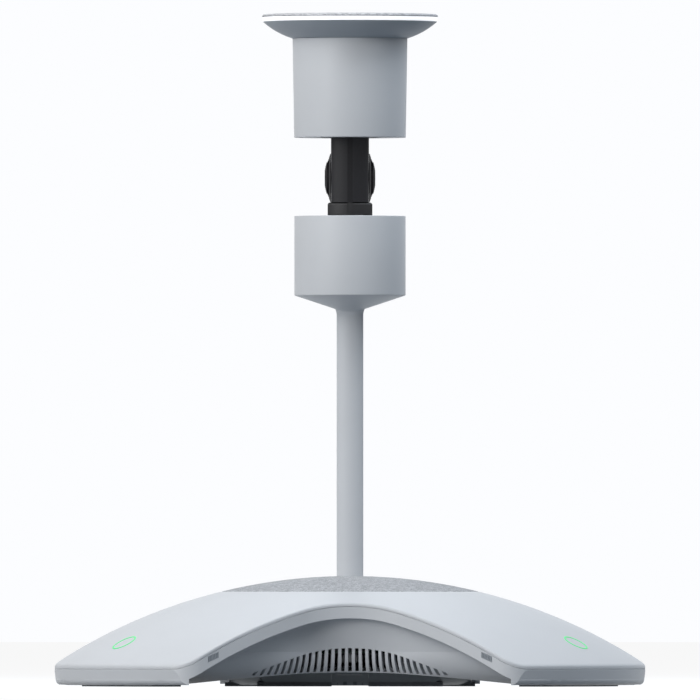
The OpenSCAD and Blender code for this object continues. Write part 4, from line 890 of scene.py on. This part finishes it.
def outline(turn):
    """The distance from the axis to the outline, at an angle from the back arm's middle line."""
    turn = abs((turn + math.pi / 3) % (math.tau / 3) - math.pi / 3)
    if turn < math.atan2(CORNER_Y, CORNER_X):
        return ARM_REACH
    if turn < math.atan2(ARM_HALF_WIDTH, CORNER_X):
        return crossing(Vector((CORNER_X, CORNER_Y)), ARM_CORNER, turn, 1)
    hollow = HOLLOW_C * Vector((math.cos(math.pi / 3), math.sin(math.pi / 3)))
    if turn < math.atan2(ARM_HALF_WIDTH, hollow.x):
        return ARM_HALF_WIDTH / math.sin(turn)
    return crossing(hollow, HOLLOW_R, turn, -1)


def sphere_z(radius, depth=0.0):
    """The height of the cover's sphere, or of one that lies deeper, at a distance from the axis."""
    return DOME_CENTRE + math.sqrt((DOME_R - depth) ** 2 - radius * radius)


# %% Rings of the cover
OPENING_R = 70.85
COVER_T = 1.8
RIM_ROUND, ROUND_STEPS = 1.0, 5
OUTLINE_STEPS, OUTWARD_STEPS, BACK_STEPS = 720, 30, 12
LIP_EDGE, LIP_WIDTH = 0.15, 2.0

# Each ring: its share of the way out, its inset from its edge, its drop and its sphere's depth
opening_rings = [(0, 0, COVER_T, 0), (0, 0, 0.3, 0), (0, -0.12, 0.1, 0), (0, -0.35, 0, 0)]
top_rings = [(step / OUTWARD_STEPS, RIM_ROUND, 0, 0) for step in range(1, OUTWARD_STEPS + 1)]
rim_rings = []
for step in range(1, ROUND_STEPS + 1):
    turn = math.pi / 2 * step / ROUND_STEPS
    rim_rings.append((1, RIM_ROUND * (1 - math.sin(turn)), RIM_ROUND * (1 - math.cos(turn)), 0))
rim_rings += [(1, 0, -LIP_EDGE, COVER_T), (1, LIP_EDGE, 0, COVER_T), (1, LIP_WIDTH, 0, COVER_T)]
under_rings = [(step / BACK_STEPS, LIP_WIDTH, 0, COVER_T) for step in range(BACK_STEPS - 1, 0, -1)]
ring_plan = opening_rings + top_rings + rim_rings + under_rings
print(f"{len(ring_plan)} rings of {OUTLINE_STEPS} points")

# %% Cover shell
shape = bmesh.new()
bmesh.ops.create_circle(shape, segments=OUTLINE_STEPS, radius=1)
ring, edges = list(shape.verts), list(shape.edges)
first_edges = edges
for number, (share, inset, drop, depth) in enumerate(ring_plan):
    if number:
        ring, edges = extruded(shape, edges)
    for v in ring:
        turn = math.atan2(v.co.y, v.co.x)
        reach = OPENING_R - inset
        if share:
            reach = OPENING_R + share * (outline(turn - math.pi / 2) - inset - OPENING_R)
        height = sphere_z(reach, depth) - drop
        v.co = Vector((reach * math.cos(turn), reach * math.sin(turn), height)) * MM
bmesh.ops.bridge_loops(shape, edges=first_edges + edges)
finished("cover_shell", shape, "base", SATIN_LACQUER, ["top_cover"])

# %% [markdown]
# ## Speaker cloth
#
# The round cloth in the middle of the cover lies on the same sphere and tucks in at its edge. Its
# hole is the pole's oval. It is turned with a round hole, which is then squeezed to the oval.

# %% Cloth over the speakers
CLOTH_R, CLOTH_T, HOLE_R = 70.6, 0.75, 9.0
HOLE_HALF_WIDTH, HOLE_HALF_DEPTH = 7.45, 4.2
HOLE_MARGIN = 0.1


def under_sphere(radius, depth):
    """A point of the cloth's section, at a depth under the cover's sphere."""
    return (radius, sphere_z(radius) - depth, 0)


cloth_top = [under_sphere(radius, 0) for radius in (HOLE_R, *range(12, 65, 4), 67, 69, 70)]
tuck = [under_sphere(CLOTH_R - 0.25, 0.06), under_sphere(CLOTH_R, 0.25)]
cloth_foot = [under_sphere(radius, CLOTH_T) for radius in (CLOTH_R, 60, 48, 36, 24, HOLE_R)]
speaker_cloth = turned(
    "speaker_cloth_cap",
    cloth_top + tuck + cloth_foot,
    "base",
    SPEAKER_CLOTH,
    ["speaker_fabric"],
)
for v in speaker_cloth.data.vertices:
    if math.hypot(v.co.x, v.co.y) < (HOLE_R + HOLE_MARGIN) * MM:
        v.co.x *= HOLE_HALF_WIDTH / HOLE_R
        v.co.y *= HOLE_HALF_DEPTH / HOLE_R

# %% [markdown]
# ## Touch rings
#
# A green ring near the end of each arm shows that the microphones are on. Each is a thin ring of
# opal plastic, turned on its own and then tipped to lie on the sphere, a hair proud of it.

# %% Three rings
TOUCH_PLACE = 142.8
TOUCH_INNER, TOUCH_OUTER, TOUCH_EDGE = 6.1, 7.15, 0.15
# Heights over the sphere: of the ring's foot, of its inner and outer edge, and of its crown, which
# falls a little outwards, as the sphere does
TOUCH_FOOT, INNER_RISE, OUTER_RISE = -0.9, 0.08, 0.05
CROWN_INNER, CROWN_OUTER = 0.16, 0.15
touch_section = [
    (TOUCH_INNER, TOUCH_FOOT, 0),
    (TOUCH_INNER, INNER_RISE, 0),
    (TOUCH_INNER + TOUCH_EDGE, CROWN_INNER, 0),
    (TOUCH_OUTER - TOUCH_EDGE, CROWN_OUTER, 0),
    (TOUCH_OUTER, OUTER_RISE, 0),
    (TOUCH_OUTER, TOUCH_FOOT, 0),
]
for name, turn in (("left", 210), ("right", 330), ("back", 90)):
    on_cover = (
        Matrix.Translation((0, 0, DOME_CENTRE * MM))
        @ Matrix.Rotation(math.radians(turn), 4, "Z")
        @ Matrix.Rotation(math.asin(TOUCH_PLACE / DOME_R), 4, "Y")
        @ Matrix.Translation((0, 0, DOME_R * MM))
    )
    turned(
        f"touch_light_{name}",
        touch_section,
        "base",
        OPAL_GREEN,
        [f"touch_ring_{name}"],
        place=on_cover,
    )

# %% [markdown]
# ## Floor, backdrop and light
#
# The photograph has a plain white ground. The floor is pale and lit by the same lamps as the
# object, so it keeps a soft shadow, and it gives off just enough light to be white beyond it. The
# world is white to the camera and in reflections, and it lights the object only softly.

# %% What is seen directly
def seen_directly(tree):
    """1 for rays from the camera, a reflection or a glass, and 0 for those that only light."""
    rays = add(tree, "ShaderNodeLightPath").outputs
    seen = add(
        tree,
        "ShaderNodeMath",
        {0: rays["Is Camera Ray"], 1: rays["Is Glossy Ray"]},
        operation="ADD",
    )
    seen_all = add(
        tree,
        "ShaderNodeMath",
        {0: seen.outputs[0], 1: rays["Is Transmission Ray"]},
        operation="ADD",
        use_clamp=True,
    )
    return seen_all.outputs[0]


# %% Floor
FLOOR_HALF = 20
floor_shape = bmesh.new()
bmesh.ops.create_grid(floor_shape, x_segments=1, y_segments=1, size=FLOOR_HALF)
floor_mesh = bpy.data.meshes.new("floor")
floor_shape.to_mesh(floor_mesh)
floor_shape.free()
floor = bpy.data.objects.new("floor", floor_mesh)
bpy.context.scene.collection.objects.link(floor)

# %% Studio paper
# Matt pale paper, lit by the lamps. It glows only where it is seen, and so lights nothing
FLOOR_GLOW = 0.93
floor_paper, tree, output = new_material("pale_studio_paper")
glow = add(
    tree, "ShaderNodeMath", {0: seen_directly(tree), 1: FLOOR_GLOW}, operation="MULTIPLY"
)
paper = add(tree, "ShaderNodeBsdfDiffuse", {"Color": linear("#70777e")})
lit = add(tree, "ShaderNodeEmission", {"Color": (1, 1, 1, 1), "Strength": glow.outputs[0]})
both = add(tree, "ShaderNodeAddShader", {0: paper.outputs["BSDF"], 1: lit.outputs["Emission"]})
tree.links.new(both.outputs["Shader"], output.inputs["Surface"])
floor_mesh.materials.append(floor_paper)

# %% World
AMBIENT = 0.03
world = bpy.data.worlds.new("white_studio")
bpy.context.scene.world = world
world.use_nodes = True
tree = world.node_tree
tree.nodes.clear()
strength = add(
    tree,
    "ShaderNodeMapRange",
    {"Value": seen_directly(tree), "To Min": AMBIENT, "To Max": 1.0},
)
sky = add(
    tree,
    "ShaderNodeBackground",
    {"Color": linear("#fcfdff"), "Strength": strength.outputs["Result"]},
)
add(tree, "ShaderNodeOutputWorld", {"Surface": sky.outputs["Background"]})

# %% Lamps
MIDDLE = Vector((0, 0, 0.18))
LAMP_DISTANCE = 2.0
NEUTRAL, PALE_BLUE, WINDOW_BLUE = "#ffffff", "#f2f7fc", "#e6f0fa"
# Each lamp: degrees to the right of the camera, degrees above the table, side in metres, watts
# and colour. The key lamps are neutral, and the fill is as blue as daylight from a window.
LAMPS = {
    "key_high": (-75, 35, 0.8, 9, NEUTRAL),
    "key_low": (-48, 6, 0.8, 9, NEUTRAL),
    "key_front": (-34, 25, 0.8, 12, NEUTRAL),
    "fill_right": (75, 40, 0.8, 11, WINDOW_BLUE),
    "top_left": (-40, 50, 0.8, 7, NEUTRAL),
    "top": (50, 62, 0.8, 15, PALE_BLUE),
    "front": (0, 50, 0.8, 1.5, WINDOW_BLUE),
    "rear": (180, 40, 0.8, 3, WINDOW_BLUE),
    "rim_right": (112, 45, 0.5, 5, WINDOW_BLUE),
}


def softbox(name, place, size, watts, tone):
    """A square area lamp that faces the middle of the object."""
    data = bpy.data.lights.new(name, "AREA")
    data.shape = "SQUARE"
    data.size = size
    data.energy = watts
    data.color = linear(tone)[:3]
    lamp = bpy.data.objects.new(name, data)
    lamp.location = place
    lamp.rotation_mode = "QUATERNION"
    lamp.rotation_quaternion = (MIDDLE - place).to_track_quat("-Z", "Y")
    bpy.context.scene.collection.objects.link(lamp)


for name, (turn, rise, size, watts, tone) in LAMPS.items():
    around = Matrix.Rotation(math.radians(turn), 3, "Z")
    swing = around @ Matrix.Rotation(-math.radians(rise), 3, "X")
    softbox(name, MIDDLE + swing @ Vector((0, -LAMP_DISTANCE, 0)), size, watts, tone)
print(f"{len(LAMPS)} lamps")

# %% [markdown]
# ## Colour management
#
# The standard view transform shows each colour about as it is written.

# %% Colour management
bpy.context.scene.view_settings.view_transform = "Standard"
